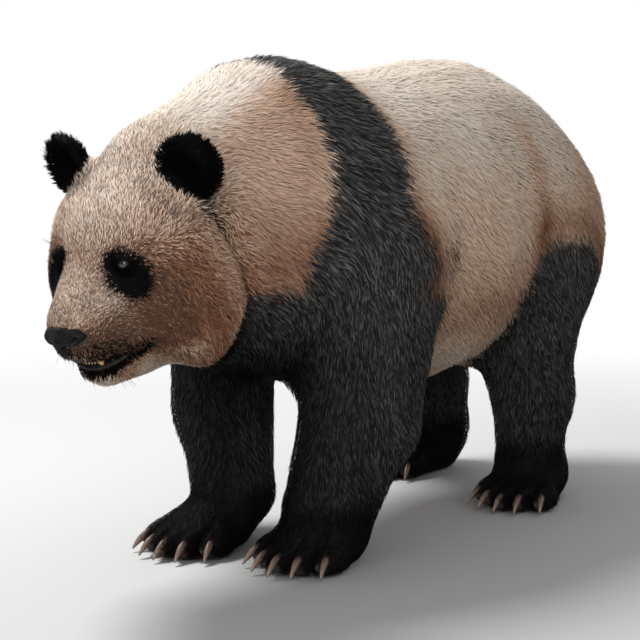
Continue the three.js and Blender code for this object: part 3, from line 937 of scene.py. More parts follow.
def head_tan(points):
    """Pale on the crown and the snout's ridge, darkest on the cheeks, with painted light on each cheek's
    rear rim.
    """
    side, ahead, up = in_head(points)
    out = np.abs(side)
    cheek = step(45, 95, out) * step(45, -25, up)
    brow = step(75, 25, up) * step(40, 70, ahead)
    crown = 0.16 + 0.24 * step(20, 90, out) * step(120, 60, up) + 0.26 * brow
    snout = step(95, 120, ahead)
    # Painted light: the cheek turns paler towards its rear rim.
    tan = crown + (1.05 - 0.36 * step(22, -35, ahead) - crown) * cheek
    beside = step(14, 40, out) * step(-25, -65, up)
    tan = tan + snout * (0.28 + 0.30 * step(-20, -75, up) + 0.30 * beside - tan)
    under = step(-112, -135, up) * step(10, 50, ahead)
    return np.clip(tan - 0.30 * under, 0, 1.05)


def tan(points, shares):
    face = face_share(shares)
    rest = 1 - np.clip(face + shares["neck"], 0, 1)
    rest = rest - 0.75 * shares["tail"]
    return face * head_tan(points) + shares["neck"] * neck_tan(points) + rest * body_tan(points)


ear_side, ear_ahead, ear_up = in_head(middle_of("ear_left"))
EAR_MIDDLE = (abs(ear_side), ear_ahead, ear_up)
print("ear in the head's frame", [round(float(x), 1) for x in EAR_MIDDLE])


def dusk(points, shares):
    """The share of dark hairs among the pale ones. Painted light thins them on each cheek's rear rim, and
    painted shade adds them in the fold behind it.
    """
    side, ahead, up = in_head(points)
    out = np.abs(side)
    brow = step(70, 20, up) * step(30, 70, ahead)
    # rim marks the rear rim of the cheek, where painted light thins the dark hairs.
    rim = step(30, -30, ahead)
    snout = step(-120, -104, up)
    mixed = 0.25 + 0.19 * brow + 0.27 * step(22, -44, up) * step(40, 80, out) * (1 - rim)
    mixed = mixed - 0.12 * rim * step(60, 90, out) * step(20, -20, up)
    mixed = mixed + 0.10 * step(80, 30, out) * step(40, 80, up)
    mixed = mixed + 0.45 * step(92, 58, head_distance(points, EAR_MIDDLE))
    mixed = mixed + 0.56 * step(-36, -82, up) * step(80, 120, ahead) * snout
    mixed = mixed + 0.26 * step(14, 40, out) * step(-36, -66, up) * step(70, 100, ahead) * snout
    mixed = mixed - 0.20 * step(-104, -124, up)
    mixed = mixed + 0.05 * swirl(points, 0.03, 11)
    around = step(1.7, 1.0, np.hypot((out - 70) / 40, (up + 1) / 34)) * step(30, 50, ahead)
    crease = np.exp(-(((up + 72) / 26) ** 2) - ((ahead - 78) / 26) ** 2) * step(30, 50, out)
    mixed = np.clip(mixed + 0.12 * around + 0.45 * crease, 0, 0.85)
    # Painted shade: many dark hairs along the fold behind each cheek, on face and neck.
    fold = cheek_fold(points, 22) * step(12, -4, ahead - fold_line(up))
    return face_share(shares) * np.maximum(mixed, 0.7 * fold) + shares["neck"] * (0.07 + 0.65 * fold)


def deep(points, shares):
    """Where the black is deepest, hardly catching any light: ears, eye patches, lips and feet. Low on the
    legs it is deeper, a little more on the hind legs, and painted shade deepens the forelegs' fronts and
    inner sides.
    """
    x, y, z = points.T
    ears = step(0.3, 0.6, shares["ear"])
    feet = 0.93 * step(0.17, 0.08, z)
    # Painted shade: the forelegs' fronts and the inner sides between them are made deeper.
    front = step(-0.16, -0.28, y)
    inside = step(0.14, 0.07, np.abs(x)) * step(0.20, 0.0, y) * step(0.40, 0.28, z)
    behind = step(0.1, 0.2, y) * step(0.36, 0.22, z)
    legs = (0.25 + 0.46 * front) * step(0.46, 0.30, z) + 0.15 * behind + 0.28 * inside
    return np.clip(strongest(ears, feet, legs, face_share(shares)), 0, 1)


def mixed_in(points, shares):
    """The third marking: dark hairs where the coat is pale and depth where it is black, both with painted
    shade in places.
    """
    blackness = black(points, shares)
    return (1 - blackness) * dusk(points, shares) + blackness * deep(points, shares)

# %% [markdown]
# Some places have no hair: the edges of the lids, the lips and the mouth's inside, the bed of the nose,
# and the pads under the feet and toes.

# %% Bare skin
LID_EDGE = (-2.6, -1.6)
NOSE_BED = {"ahead": 172, "up": -55, "out": 36, "deep": 23, "high": 16}


def toe_pads(points):
    """The bare pad under the tip of each toe, below its claw."""
    x, y, z = points.T
    pads = np.zeros(len(points))
    for root in claw_roots:
        near = step(10, 7, np.abs(x - root[0]) / MM)
        near = near * step(22, 14, z / MM - 0.25 * (root[1] - y) / MM)
        pads = np.maximum(pads, near * step(26, 16, np.abs(y - root[1] + 0.018) / MM))
    return pads


def nose_bed(points):
    side, ahead, up = in_head(points)
    ahead, up = (ahead - NOSE_BED["ahead"]) / NOSE_BED["deep"], (up - NOSE_BED["up"]) / NOSE_BED["high"]
    return step(1.12, 1.0, np.sqrt((side / NOSE_BED["out"]) ** 2 + ahead**2 + up**2))


def bare(points, shares):
    lids = np.zeros(len(points))
    for side in SIDES.values():
        along, over, out = eye_local(points, side)
        near = (np.hypot(along, over) < 16) & (out > 0)
        lids = np.maximum(lids, near * step(*LID_EDGE, almond_edge(along, over)))
    mouth = np.maximum(mouth_gap(points), lip_rim(points)) * step(0.2, 0.5, shares["head"] + shares["jaw"])
    soles = step(9, 4, points[:, 2] / MM)
    return np.clip(strongest(lids, mouth, nose_bed(points), soles, toe_pads(points)), 0, 1)


print("toe pads cover", int((toe_pads(corners_of(skin_mesh)) > 0.5).sum()), "vertices")

# %% [markdown]
# ## Materials
# The coat's colour is one node group, used by the skin and by every tuft. It takes the markings from
# the mesh's own attributes: black, tan, dark hairs with painted shade, and how far along the hair a point
# lies. Painted shade makes hair darker near its root, where less light reaches it, and painted light paler
# at its tip; on black hair a few random tips are painted paler as highlights, in place of a sheen.

# %% Colour tools
def blend_colours(tree, amount, first, second, way="MIX"):
    node = add_node(tree, "ShaderNodeMix", data_type="RGBA", blend_type=way)
    wire(tree, amount, node, 0)
    wire(tree, first, node, 6)
    wire(tree, second, node, 7)
    return node.outputs[2]


def ramp(tree, value, stops):
    node = add_node(tree, "ShaderNodeValToRGB")
    while len(node.color_ramp.elements) < len(stops):
        node.color_ramp.elements.new(0.5)
    for element, (place, colour) in zip(node.color_ramp.elements, stops):
        element.position = place
        element.color = (*colour, 1)
    wire(tree, value, node, "Fac")
    return node.outputs["Color"]


def noise(tree, scale, detail=3.0):
    node = add_node(tree, "ShaderNodeTexNoise")
    wire(tree, scale, node, "Scale")
    wire(tree, detail, node, "Detail")
    wire(tree, object_place(tree), node, "Vector")
    return node.outputs["Fac"]


def swing(tree, value, amount):
    """A value of 0 to 1, moved to swing around 0 by the given amount."""
    return calculate(tree, "MULTIPLY", calculate(tree, "SUBTRACT", value, 0.5), amount)


def attribute(tree, name, output="Fac"):
    return add_node(tree, "ShaderNodeAttribute", attribute_name=name).outputs[output]


def roughen(tree, shader, height, strength, distance):
    """A fine relief that only bends the light."""
    bump = add_node(tree, "ShaderNodeBump")
    wire(tree, strength, bump, "Strength")
    wire(tree, distance, bump, "Distance")
    wire(tree, height, bump, "Height")
    wire(tree, bump.outputs["Normal"], shader, "Normal")


def new_group(name, inputs, outputs):
    group = bpy.data.node_groups.new(name, "ShaderNodeTree")
    for label, value in inputs.items():
        socket = group.interface.new_socket(label, in_out="INPUT", socket_type="NodeSocketFloat")
        socket.default_value = value
    for label, kind in outputs.items():
        group.interface.new_socket(label, in_out="OUTPUT", socket_type=kind)
    return group, group.nodes.new("NodeGroupInput").outputs, group.nodes.new("NodeGroupOutput")

# %% Coat colour
CREAM, TAN, BROWN = (0.60, 0.555, 0.50), (0.465, 0.325, 0.235), (0.168, 0.072, 0.037)
DEEPEST = (0.0012, 0.0011, 0.0011)
DARK_HAIR, BLACK_HAIR, BLACK_HIGHLIGHT = (0.040, 0.026, 0.020), (0.009, 0.009, 0.009), (0.180, 0.175, 0.170)

ROOT_SHADE, BODY_SHADE, TIP_SHADE = (0.72, 0.67, 0.63), (0.95, 0.94, 0.93), (1.12, 1.12, 1.12)
PALE_ROUGHNESS, BLACK_GLOSS, STRAY_TONE = 0.80, -0.20, 0.22

coat_colour, given, out = new_group(
    "coat_colour",
    {"Black": 0.0, "Tan": 0.0, "Dark hairs and shade": 0.0, "Random": 0.5, "Along": 0.5, "Patchiness": 0.5},
    {"Color": "NodeSocketColor", "Roughness": "NodeSocketFloat"},
)
tree = coat_colour
shift = swing(tree, noise(tree, 9.0, 4.0), given["Patchiness"])
stray = swing(tree, given["Random"], STRAY_TONE)
toned = calculate(tree, "ADD", calculate(tree, "ADD", given["Tan"], shift), stray)
pale = ramp(tree, toned, [(0.0, CREAM), (0.5, TAN), (1.0, BROWN)])
pale = blend_colours(tree, given["Dark hairs and shade"], pale, (*DARK_HAIR, 1))
shade = ramp(tree, given["Along"], [(0.0, ROOT_SHADE), (0.5, BODY_SHADE), (1.0, TIP_SHADE)])
pale = blend_colours(tree, 1.0, pale, shade, "MULTIPLY")
# Painted highlights: a few black hairs, chosen at random, turn paler towards the tip in place of a sheen.
tip_highlight = calculate(tree, "MULTIPLY", given["Random"], given["Random"])
tip_highlight = calculate(tree, "MULTIPLY", tip_highlight, given["Along"])
dark = blend_colours(tree, tip_highlight, (*BLACK_HAIR, 1), (*BLACK_HIGHLIGHT, 1))
dark = blend_colours(tree, given["Dark hairs and shade"], dark, (*DEEPEST, 1))
wire(tree, blend_colours(tree, given["Black"], pale, dark), out, "Color")
gloss = calculate(tree, "MULTIPLY", given["Black"], BLACK_GLOSS)
wire(tree, calculate(tree, "ADD", gloss, PALE_ROUGHNESS), out, "Roughness")
print("coat colour:", len(tree.nodes), "nodes")

# %% [markdown]
# Fur and skin both wear that colour. The skin changes to dark leather where it is bare, and to paler,
# browner leather on the pads, with fine creases in both.

# %% Skin and coat materials
PATCHINESS = 0.30
LEATHER = [(0.35, (0.012, 0.011, 0.011)), (0.7, (0.032, 0.028, 0.027))]
PADS = [(0.35, (0.022, 0.018, 0.017)), (0.7, (0.050, 0.039, 0.035))]


def marked(tree):
    """The coat's colour, wired to the attributes marks and strand of the mesh, and where skin is bare."""
    mark = add_node(tree, "ShaderNodeSeparateColor")
    hair = add_node(tree, "ShaderNodeSeparateColor")
    wire(tree, attribute(tree, "marks", "Color"), mark, 0)
    wire(tree, attribute(tree, "strand", "Color"), hair, 0)
    group = add_node(tree, "ShaderNodeGroup", node_tree=coat_colour)
    names = ["Black", "Tan", "Dark hairs and shade", "Random", "Along"]
    for source, name in zip([*mark.outputs, *hair.outputs[:2]], names):
        wire(tree, source, group, name)
    wire(tree, PATCHINESS, group, "Patchiness")
    return group.outputs, hair.outputs[2], calculate(tree, "MULTIPLY", hair.outputs[2], mark.outputs[1])


fur_material, tree, shader = new_material("fur", 0.8, 0.018)
coat, _, _ = marked(tree)
wire(tree, coat["Color"], shader, "Base Color")
wire(tree, coat["Roughness"], shader, "Roughness")

skin_material, tree, shader = new_material("skin", 0.6, 0.06)
coat, bare_part, pad_part = marked(tree)
leather, pads = ramp(tree, noise(tree, 260.0, 5.0), LEATHER), ramp(tree, noise(tree, 190.0, 5.0), PADS)
leather = blend_colours(tree, pad_part, leather, pads)
wire(tree, blend_colours(tree, bare_part, coat["Color"], leather), shader, "Base Color")
smoother = calculate(tree, "MULTIPLY", bare_part, -0.3)
wire(tree, calculate(tree, "ADD", coat["Roughness"], smoother), shader, "Roughness")
roughen(tree, shader, noise(tree, 420.0, 4.0), 0.35, 0.0015)
print("materials so far:", [material.name for material in bpy.data.materials])

# %% [markdown]
# The finished skin carries its markings as attributes, and an unwrap named OFBake, on which its colours
# can be baked. The tufts later borrow the place of their roots from the same unwrap.

# %% Attributes and unwrap of the skin
def paint(mesh, name, *channels):
    """Writes up to four values per vertex as a colour attribute."""
    values = np.zeros((len(mesh.vertices), 4), np.float32)
    for index, channel in enumerate(channels):
        values[:, index] = channel
    values[:, 3] = 1
    write(mesh.attributes.new(name, "FLOAT_COLOR", "POINT").data, "color", values)


# The skin shows between the locks, so it takes a place on the hair's painted root-to-tip shade, darker on
# the face.
UNDERCOAT_SHADE, FACE_UNDERCOAT_SHADE, FACE_TAN = 0.55, 0.2, 0.4
skin = add_object("skin", skin_mesh, "white_fur", *FLESH)
shade_smooth(skin_mesh)
skin_mesh.materials.append(skin_material)
points = corners_of(skin_mesh)
shares = group_shares(skin_mesh, 24)
skin_bare = bare(points, shares)
on_head = face_share(shares)
pad_part = skin_bare * step(24, 18, points[:, 2] / MM)
skin_tan = (tan(points, shares) + FACE_TAN * on_head) * (1 - skin_bare) + pad_part
paint(skin_mesh, "marks", black(points, shares), skin_tan, mixed_in(points, shares))
paint(skin_mesh, "strand", 0.5, UNDERCOAT_SHADE + (FACE_UNDERCOAT_SHADE - UNDERCOAT_SHADE) * on_head, skin_bare)

bpy.context.view_layer.objects.active = skin
skin.select_set(True)
bpy.ops.object.mode_set(mode="EDIT")
bpy.ops.mesh.select_all(action="SELECT")
bpy.ops.uv.smart_project(angle_limit=math.radians(66), island_margin=0.001)
bpy.ops.object.mode_set(mode="OBJECT")
skin_mesh.uv_layers.active.name = "OFBake"
print("skin", len(skin_mesh.polygons), "faces")

# %% [markdown]
# ## Eyes
# An eye is a ball with a slightly bulging cornea. It starts as a sphere whose pole is turned to the
# gaze. The angle from the pole is kept as an attribute, so that pupil, iris and the dark rim are rings
# of one material, a little greyer on the lower half, where the floor's light reaches it. A thin clear
# coat makes it wet. A small lamp, linked to the eyes alone, is set where its mirror image in the left
# eye meets the viewer: half way between the ways to lamp and viewer lies the eyeball's own normal.

# %% Eyeballs
IRIS_RINGS = [
    (0.00, (0.002, 0.002, 0.002)),
    (0.19, (0.003, 0.002, 0.002)),
    (0.25, (0.008, 0.006, 0.005)),
    (0.50, (0.006, 0.005, 0.004)),
    (0.60, (0.004, 0.003, 0.003)),
    (0.75, (0.006, 0.005, 0.005)),
]
LOWER_HALF = (0.028, 0.030, 0.030, 1)
CORNEA_RISE, CORNEA_ANGLE = 0.05, 0.55
SPARK = {"size": 0.55, "power": 60}
SPARK_RIGHT, SPARK_UP, SPARK_FAR = 2.1, 2.3, 2.0

eye_material, tree, shader = new_material("eye", 0.35, 0.04, coat=0.14)
height = add_node(tree, "ShaderNodeSeparateXYZ")
wire(tree, object_place(tree), height, 0)
eye_height = eye_place["left"][2]
lower_half = map_range(tree, height.outputs["Z"], eye_height - 2.2 * MM, eye_height + 0.2 * MM, 1, 0)
flecked = calculate(tree, "ADD", attribute(tree, "polar"), swing(tree, noise(tree, 900.0), 0.08))
rings = ramp(tree, flecked, IRIS_RINGS)
wire(tree, blend_colours(tree, lower_half, rings, LOWER_HALF), shader, "Base Color")


def gaze_of(side_name):
    return Vector(head_vector(eye_frame(SIDES[side_name])[0]))


def finish_piece(bm, name, slot, material, *replaced):
    bmesh.ops.recalc_face_normals(bm, faces=bm.faces)
    mesh = mesh_from(bm, name)
    shade_smooth(mesh)
    mesh.materials.append(material)
    print(name, len(mesh.polygons), "faces")
    return add_object(name, mesh, slot, *replaced)


def eyeball(side_name):
    turn = Vector((0, 0, 1)).rotation_difference(gaze_of(side_name)).to_matrix()
    bm = bmesh.new()
    polar = bm.verts.layers.float.new("polar")
    bmesh.ops.create_uvsphere(bm, u_segments=40, v_segments=30, radius=1)
    for vert in bm.verts:
        vert[polar] = math.acos(max(-1, min(1, vert.co.z)))
        cornea = 1 + CORNEA_RISE * math.exp(-((vert[polar] / CORNEA_ANGLE) ** 4))
        vert.co = Vector(eye_place[side_name]) + turn @ vert.co * EYE_RADIUS * MM * cornea
    return finish_piece(bm, f"eyeball_{side_name}", "eye", eye_material, f"eye_{side_name}")


lit_eyes = bpy.data.collections.new("lit_eyes")
for side_name in SIDES:
    lit_eyes.objects.link(eyeball(side_name))

mirror = gaze_of("left") * EYE_RADIUS + to_right * SPARK_RIGHT + Vector((0, 0, SPARK_UP))
mirror.normalize()
left_eye = Vector(eye_place["left"])
view = (camera.location - left_eye).normalized()
spark_way = 2 * mirror.dot(view) * mirror - view
spark = area_lamp("spark", left_eye + spark_way * SPARK_FAR, left_eye, **SPARK)
spark.light_linking.receiver_collection = lit_eyes
print("spark lamp at", [round(value, 2) for value in spark.location], "facing", round(mirror.dot(view), 2))

# %% [markdown]
# ## Nose
# The nose is a pad of bare, finely pebbled leather. The nose solid is remeshed finely and rounded. Each
# nostril is a comma: a hole near the middle that runs out and up into a slit. A groove runs down from
# between them to the lip.

# %% Nose leather
NOSE_VOXEL = 1.3 * MM
NOSTRIL = {"inner": (13, -65), "outer": (30, -52), "deep": 16, "wide": 5.6, "narrow": 2.2}

NOSTRIL_BOW, NOSTRIL_WING, NOSE_GROOVE = 3.0, 1.3, 2.6
NOSE_COLOURS = [(0.3, (0.004, 0.0037, 0.0037)), (0.75, (0.009, 0.0085, 0.0085))]

nose_material, tree, shader = new_material("nose_leather", 0.45, 0.07)
pebbles = add_node(tree, "ShaderNodeTexVoronoi")
wire(tree, 620, pebbles, "Scale")
wire(tree, object_place(tree), pebbles, "Vector")
wire(tree, ramp(tree, noise(tree, 70.0), NOSE_COLOURS), shader, "Base Color")
roughen(tree, shader, pebbles.outputs["Distance"], 0.25, 0.0006)

nose_fine = voxel_remeshed(mesh_from(welded("nose"), "nose_rough"), NOSE_VOXEL)
spots = corners_of(nose_fine)
table, count = neighbour_table(nose_fine)
spots = smooth(spots, table, count, 90, 0.5, 0.507)
side, ahead, up = in_head(spots)
inner, outer = np.array(NOSTRIL["inner"]), np.array(NOSTRIL["outer"])
reach = outer - inner
along = np.clip(((np.abs(side) - inner[0]) * reach[0] + (up - inner[1]) * reach[1]) / (reach @ reach), 0, 1)
bow = NOSTRIL_BOW * np.sin(math.pi * along)
from_slit = np.hypot(np.abs(side) - inner[0] - reach[0] * along, up - inner[1] - reach[1] * along + bow)
radius = NOSTRIL["wide"] + (NOSTRIL["narrow"] - NOSTRIL["wide"]) * along**0.8
front = step(158, 166, ahead)
hole = step(1.15, 0.55, from_slit / radius) * NOSTRIL["deep"] * (1 - 0.55 * along) * front
wing = NOSTRIL_WING * bell(from_slit / radius, 1.7, 0.5) * front
groove = NOSE_GROOVE * bell(side, 0, 1.7) * step(-58, -66, up) * front
back = np.stack([0 * side, wing - hole - groove, 0 * side], axis=-1)
spots = spots + head_vector(back) * MM
spots = smooth(spots, table, count, 2, 0.4)
side, ahead, up = in_head(spots)
low = step(-52, -80, up)
narrowed = np.stack([-0.45 * side * low, 0 * side, -5 * low * bell(side, 0, 14)], axis=-1)
spots = spots + head_vector(narrowed) * MM
place_corners(nose_fine, spots)
bm = bmesh.new()
bm.from_mesh(nose_fine)
finish_piece(bm, "nose_pad", "nose_leather", nose_material, "nose")

# %% [markdown]
# ## Teeth and claws
# Teeth and claws are both horns: a cone that is cut into rings, each ring then set on a curve and
# scaled, so one function bends and tapers them all.

# %% Curved horns
def horn(whole, place_at, segments=12, rings=8):
    """Adds to whole a cone along a curve. place_at(t) gives the ring at t: its middle and half-axes."""
    bm = bmesh.new()
    along = bm.verts.layers.float.new("along")
    bmesh.ops.create_cone(bm, cap_ends=True, segments=segments, radius1=1, radius2=1, depth=1)
    uprights = [e for e in bm.edges if abs(e.verts[0].co.z - e.verts[1].co.z) > 0.5]
    bmesh.ops.subdivide_edges(bm, edges=uprights, cuts=rings)
    for vert in bm.verts:
        vert[along] = vert.co.z + 0.5
        middle, across, over = place_at(vert[along])
        vert.co = Vector(middle) + Vector(across) * vert.co.x + Vector(over) * vert.co.y
    bmesh.ops.recalc_face_normals(bm, faces=bm.faces)
    one = mesh_from(bm, "horn")
    whole.from_mesh(one)
    bpy.data.meshes.remove(one)

# %% [markdown]
# Only the upper teeth show in the open mouth. Canines are stout round horns, curved back. Incisors are
# flat ones in a row between them. All are stained, darkest at the root.

# %% Teeth
CANINE = {"side": 22, "ahead": 152, "radius": 6.6, "length": 12}
INCISOR = {"pitch": 5.2, "ahead": 156, "radius": 2.5, "length": 9.5}
TOOTH_ROOT = 7

TOOTH_COLOURS = [(0.35, (0.20, 0.085, 0.025)), (0.65, (0.50, 0.27, 0.09)), (1.0, (0.68, 0.45, 0.20))]

tooth_material, tree, shader = new_material("tooth", 0.3, 0.5, coat=0.3)
stain = calculate(tree, "ADD", attribute(tree, "along"), swing(tree, noise(tree, 300.0), 0.5))
wire(tree, ramp(tree, stain, TOOTH_COLOURS), shader, "Base Color")


def tooth(bm, side, ahead, radius, length, flat):
    def place_at(t):
        size = radius * (1 - 0.72 * t**2.2)
        drop = TOOTH_ROOT - (TOOTH_ROOT + length) * t
        middle = head_point(side, ahead - 2.5 * t * t * (1 - flat), MOUTH_UP + drop)
        return middle, (size * MM, 0, 0), forward * size * (0.55 if flat else 1.1) * MM
    horn(bm, place_at)


bm = bmesh.new()
for sign in SIDES.values():
    tooth(bm, sign * CANINE["side"], CANINE["ahead"], CANINE["radius"], CANINE["length"], flat=False)
    for number in range(3):
        side = sign * INCISOR["pitch"] * (number + 0.5)
        tooth(bm, side, INCISOR["ahead"] - number, INCISOR["radius"], INCISOR["length"], flat=True)
finish_piece(bm, "teeth", "claw_horn", tooth_material)

# %% [markdown]
# A claw is one horn that leaves the toe level and curves down to a blunt tip. It is dark at the root and
# worn paler towards the tip, with streaks along it.

# %% Claws
CLAW_RADIUS, CLAW_DROP_POWER = 7.6, 2.0
CLAW_COLOURS = [
    (0.15, (0.034, 0.020, 0.015)),
    (0.45, (0.078, 0.047, 0.034)),
    (0.80, (0.125, 0.082, 0.058)),
    (1.0, (0.190, 0.138, 0.098)),
]

claw_material, tree, shader = new_material("claw_horn", 0.42, 0.3, coat=0.05)
streaks = swing(tree, noise(tree, 240.0, 5.0), 0.55)
streaked = calculate(tree, "ADD", attribute(tree, "along"), streaks)
wire(tree, ramp(tree, streaked, CLAW_COLOURS), shader, "Base Color")


def claw(bm, root, tip):
    reach = tip - root
    across = unit(np.array([-reach[1], reach[0], 0.0]))

    def place_at(t):
        middle = root + reach * np.array([t, t, t**CLAW_DROP_POWER])
        along = unit(reach * np.array([1, 1, CLAW_DROP_POWER * max(t, 0.05) ** (CLAW_DROP_POWER - 1)]))
        size = CLAW_RADIUS * (1 - 0.78 * t**2.2) * MM
        return middle, across * size * 0.82, np.cross(along, across) * size
    horn(bm, place_at, segments=14, rings=10)


for foot, ends in claws.items():
    bm = bmesh.new()
    for root, tip in ends:
        claw(bm, root, tip)
    solids = [f"claw_{foot}_{number}" for number in range(1, 6)]
    finish_piece(bm, f"claws_{foot}", "claw_horn", claw_material, *solids)

# %% [markdown]
# ## Whiskers
# A panda has few, thin, dark whiskers: on the upper lip, under the chin and above the inner corner of
# each eye. They are the same horns again, as thin as wire, and their roots are looked up on the skin.

# %% Whiskers
WHISKER_RADIUS, WHISKER_ROOT, WHISKER_BEND = 0.32, 1.5, 0.28
WHISKER_COLOURS = [(0.3, (0.006, 0.005, 0.005)), (0.7, (0.03, 0.026, 0.024))]

whisker_material, tree, shader = new_material("whisker", 0.45, 0.4)
wire(tree, ramp(tree, noise(tree, 90.0), WHISKER_COLOURS), shader, "Base Color")
skin_tree = BVHTree.FromObject(skin, bpy.context.evaluated_depsgraph_get())


def whisker(bm, spot, heading, length, bend):
    """A whisker from the skin nearest to spot, in the head's millimetres, that bends as it goes."""
    root = np.array(skin_tree.find_nearest(Vector(head_point(*spot)))[0])
    start = head_vector(unit(np.array(heading, float)))
    turned = head_vector(unit(np.array(bend, float)))
    across = unit(np.cross(start, [0.3, 0.9, 0.2]))

    def place_at(t):
        middle = root + (start * (t * length - WHISKER_ROOT) + turned * WHISKER_BEND * length * t * t) * MM
        size = WHISKER_RADIUS * (1 - 0.8 * t) * MM
        return middle, across * size, np.cross(start, across) * size
    horn(bm, place_at, segments=5, rings=5)


bm = bmesh.new()
for sign in SIDES.values():
    for number in range(12):
        spread, row = rng.random(2)
        spot = (sign * (8 + 40 * spread), 160 - 38 * spread**1.5, -80 - 20 * row)
        heading = (sign * (0.3 + 0.7 * spread), 0.6 - 0.6 * spread, -0.55 - 0.4 * rng.random())
        whisker(bm, spot, heading, 12 + 12 * rng.random(), (0, -0.3, -1))
    for number in range(10):
        spread, row = rng.random(2)
        spot = (sign * (2 + 30 * spread), 146 - 40 * row, -140 - 5 * row)
        heading = (sign * 0.5 * spread, 0.35 - 0.5 * row + 0.3 * rng.random(), -1)
        whisker(bm, spot, heading, 14 + 12 * rng.random(), (0, -0.6, -0.4))
    for number in range(5):
        spot = (sign * (42 + 5 * number), 92 - 2 * number, 30 + 2 * number)
        heading = (sign * (0.1 + 0.1 * number), 0.75, 0.75)
        whisker(bm, spot, heading, 26 + 8 * rng.random(), (sign * 0.6, -0.5, 0.6))
finish_piece(bm, "whiskers", "black_fur", whisker_material)

# %% [markdown]
# ## Coat
# Fur could be grown by Blender's hair system, but hair is not a mesh, so it would be lost when the model
# is used elsewhere. Here each lock is a small closed solid of five corners: a root buried in the skin, a
# flat three-cornered waist and a tip. It leaves the skin at a slant and then bends over to lie along
# the body. Their places, directions and lengths are worked out for all of them at once with arrays.

# %% Where the locks grow
COAT_TUFTS = 240000
ROOM_FOR_ONE = {"trunk": 20, "tail": 18, "neck": 17, "head": 6.5, "jaw": 4, "ear": 3.2, "leg": 13, "paw": 7}
FINEST = 2.8


def triangles_of(mesh):
    """The corners of each triangle, as numbers of vertices and as numbers of loops."""
    mesh.calc_loop_triangles()
    return (read(mesh.loop_triangles, name, 3, np.int32) for name in ("vertices", "loops"))


def area_of(points, triangles):
    a, b, c = (points[triangles[:, k]] for k in range(3))
    return np.linalg.norm(np.cross(b - a, c - a), axis=1) / 2


_, ahead, _ = in_head(points)
room = sum(shares[name] * ROOM_FOR_ONE[name] for name in GROUPS)
snout = face_share(shares) * step(60, 110, ahead)
room = room + snout * (FINEST - room)
room = room + step(45, 25, eye_distance(points)) * np.minimum(FINEST - room, 0)
density = (1 - step(0.3, 0.6, skin_bare)) / room
triangles, loops = triangles_of(skin_mesh)
wanted = area_of(points, triangles) / MM**2 * density[triangles].mean(axis=1)
print("locks at full density:", int(wanted.sum()), "of", COAT_TUFTS)

running = np.cumsum(wanted) / wanted.sum()
draws = (np.arange(COAT_TUFTS) + rng.random(COAT_TUFTS)) / COAT_TUFTS
chosen = np.minimum(np.searchsorted(running, draws), len(triangles) - 1)
spread = rng.random((COAT_TUFTS, 2))
spread[spread.sum(axis=1) > 1] = 1 - spread[spread.sum(axis=1) > 1]
weights = np.column_stack([1 - spread.sum(axis=1), spread])


def at_roots(values):
    """A value kept per vertex of the skin, worked out at each lock's root."""
    return np.einsum("tk,tk...->t...", weights, values[triangles[chosen]])


roots = at_roots(points)
normals = unit(at_roots(normals_of(skin_mesh)))
root_shares = {name: at_roots(shares[name]) for name in GROUPS}

# %% [markdown]
# The lie of the coat is what makes fur read as fur. It runs back along the neck and trunk and down the
# flanks, down the legs, forward over the toes, and on the head back from the nose over the brow, out
# and down over the cheeks. A slow swirl and a little disorder from lock to lock keep it alive.

# %% Lie of the coat
EAR_FOOT = (96, -42, 62)


def lip_fringe(points):
    """1 under the nose and on the front of the chin, where the hair hangs forward and down."""
    side, ahead, up = in_head(points)
    clear = np.maximum(step(MOUTH_UP + 5, MOUTH_UP + 13, up), step(MOUTH_UP - 20, MOUTH_UP - 27, up))
    front = step(118, 142, ahead + 0.25 * (-90 - up))
    return front * step(-66, -82, up) * step(46, 26, np.abs(side)) * clear


def head_flow(points):
    """Back over the brow and down over the cheeks, but forward and down on the fringe of the lips."""
    side, ahead, up = in_head(points)
    out = np.clip(side / 60, -1, 1)
    cheek = step(35, 95, np.abs(side)) * step(60, -10, up)
    ahead_part = -0.95 + 0.45 * cheek
    up_part = 0.55 * (1 - cheek) - 1.0 * cheek - 0.9 * step(-85, -105, up)
    up_part = up_part + 0.3 * step(60, 20, ahead) * (1 - cheek)
    side_part = out * (0.28 + 0.25 * cheek)
    back = unit(head_vector(np.stack([side_part, ahead_part, up_part], axis=-1)))
    down = unit(head_vector(np.stack([0.35 * out, 0.5 + 0 * out, -0.8 + 0 * out], axis=-1)))
    return back + lip_fringe(points)[:, None] * (down - back)


def ear_flow(points):
    """Outward from the foot of each ear."""
    out, ahead, up = EAR_FOOT
    left, right = head_point(out, ahead, up), head_point(-out, ahead, up)
    return unit(points - np.where(points[:, :1] > 0, left, right))


def lie(points, normals, shares):
    x = points[:, 0] / 0.25
    zero, one = np.zeros(len(points)), np.ones(len(points))
    flows = {
        "trunk": np.stack([0.12 * x, one, -0.30 - 0.75 * np.abs(x)], axis=-1),
        "tail": np.stack([zero, 0.35 * one, -one], axis=-1),
        "neck": np.stack([0.25 * x, one, -0.15 - 0.9 * np.abs(x)], axis=-1),
        "head": head_flow(points),
        "jaw": head_flow(points),
        "ear": ear_flow(points),
        "leg": np.stack([zero, 0.28 * one, -one], axis=-1),
        "paw": np.stack([zero, -one, -0.55 * one], axis=-1),
    }
    flow = sum(shares[name][:, None] * unit(flows[name]) for name in GROUPS)
    across = np.cross(normals, flow)
    turn = 0.22 * swirl(points, 0.16, 3) + 0.10 * swirl(points, 0.05, 5)
    flow = flow + across * turn[:, None]
    flow = flow - normals * (flow * normals).sum(axis=1, keepdims=True)
    return unit(flow)


flow = lie(roots, normals, root_shares)
stray = rng.normal(size=COAT_TUFTS) * (0.14 + 0.34 * root_shares["ear"] + 0.36 * root_shares["head"])
flow = unit(flow + np.cross(normals, flow) * stray[:, None])

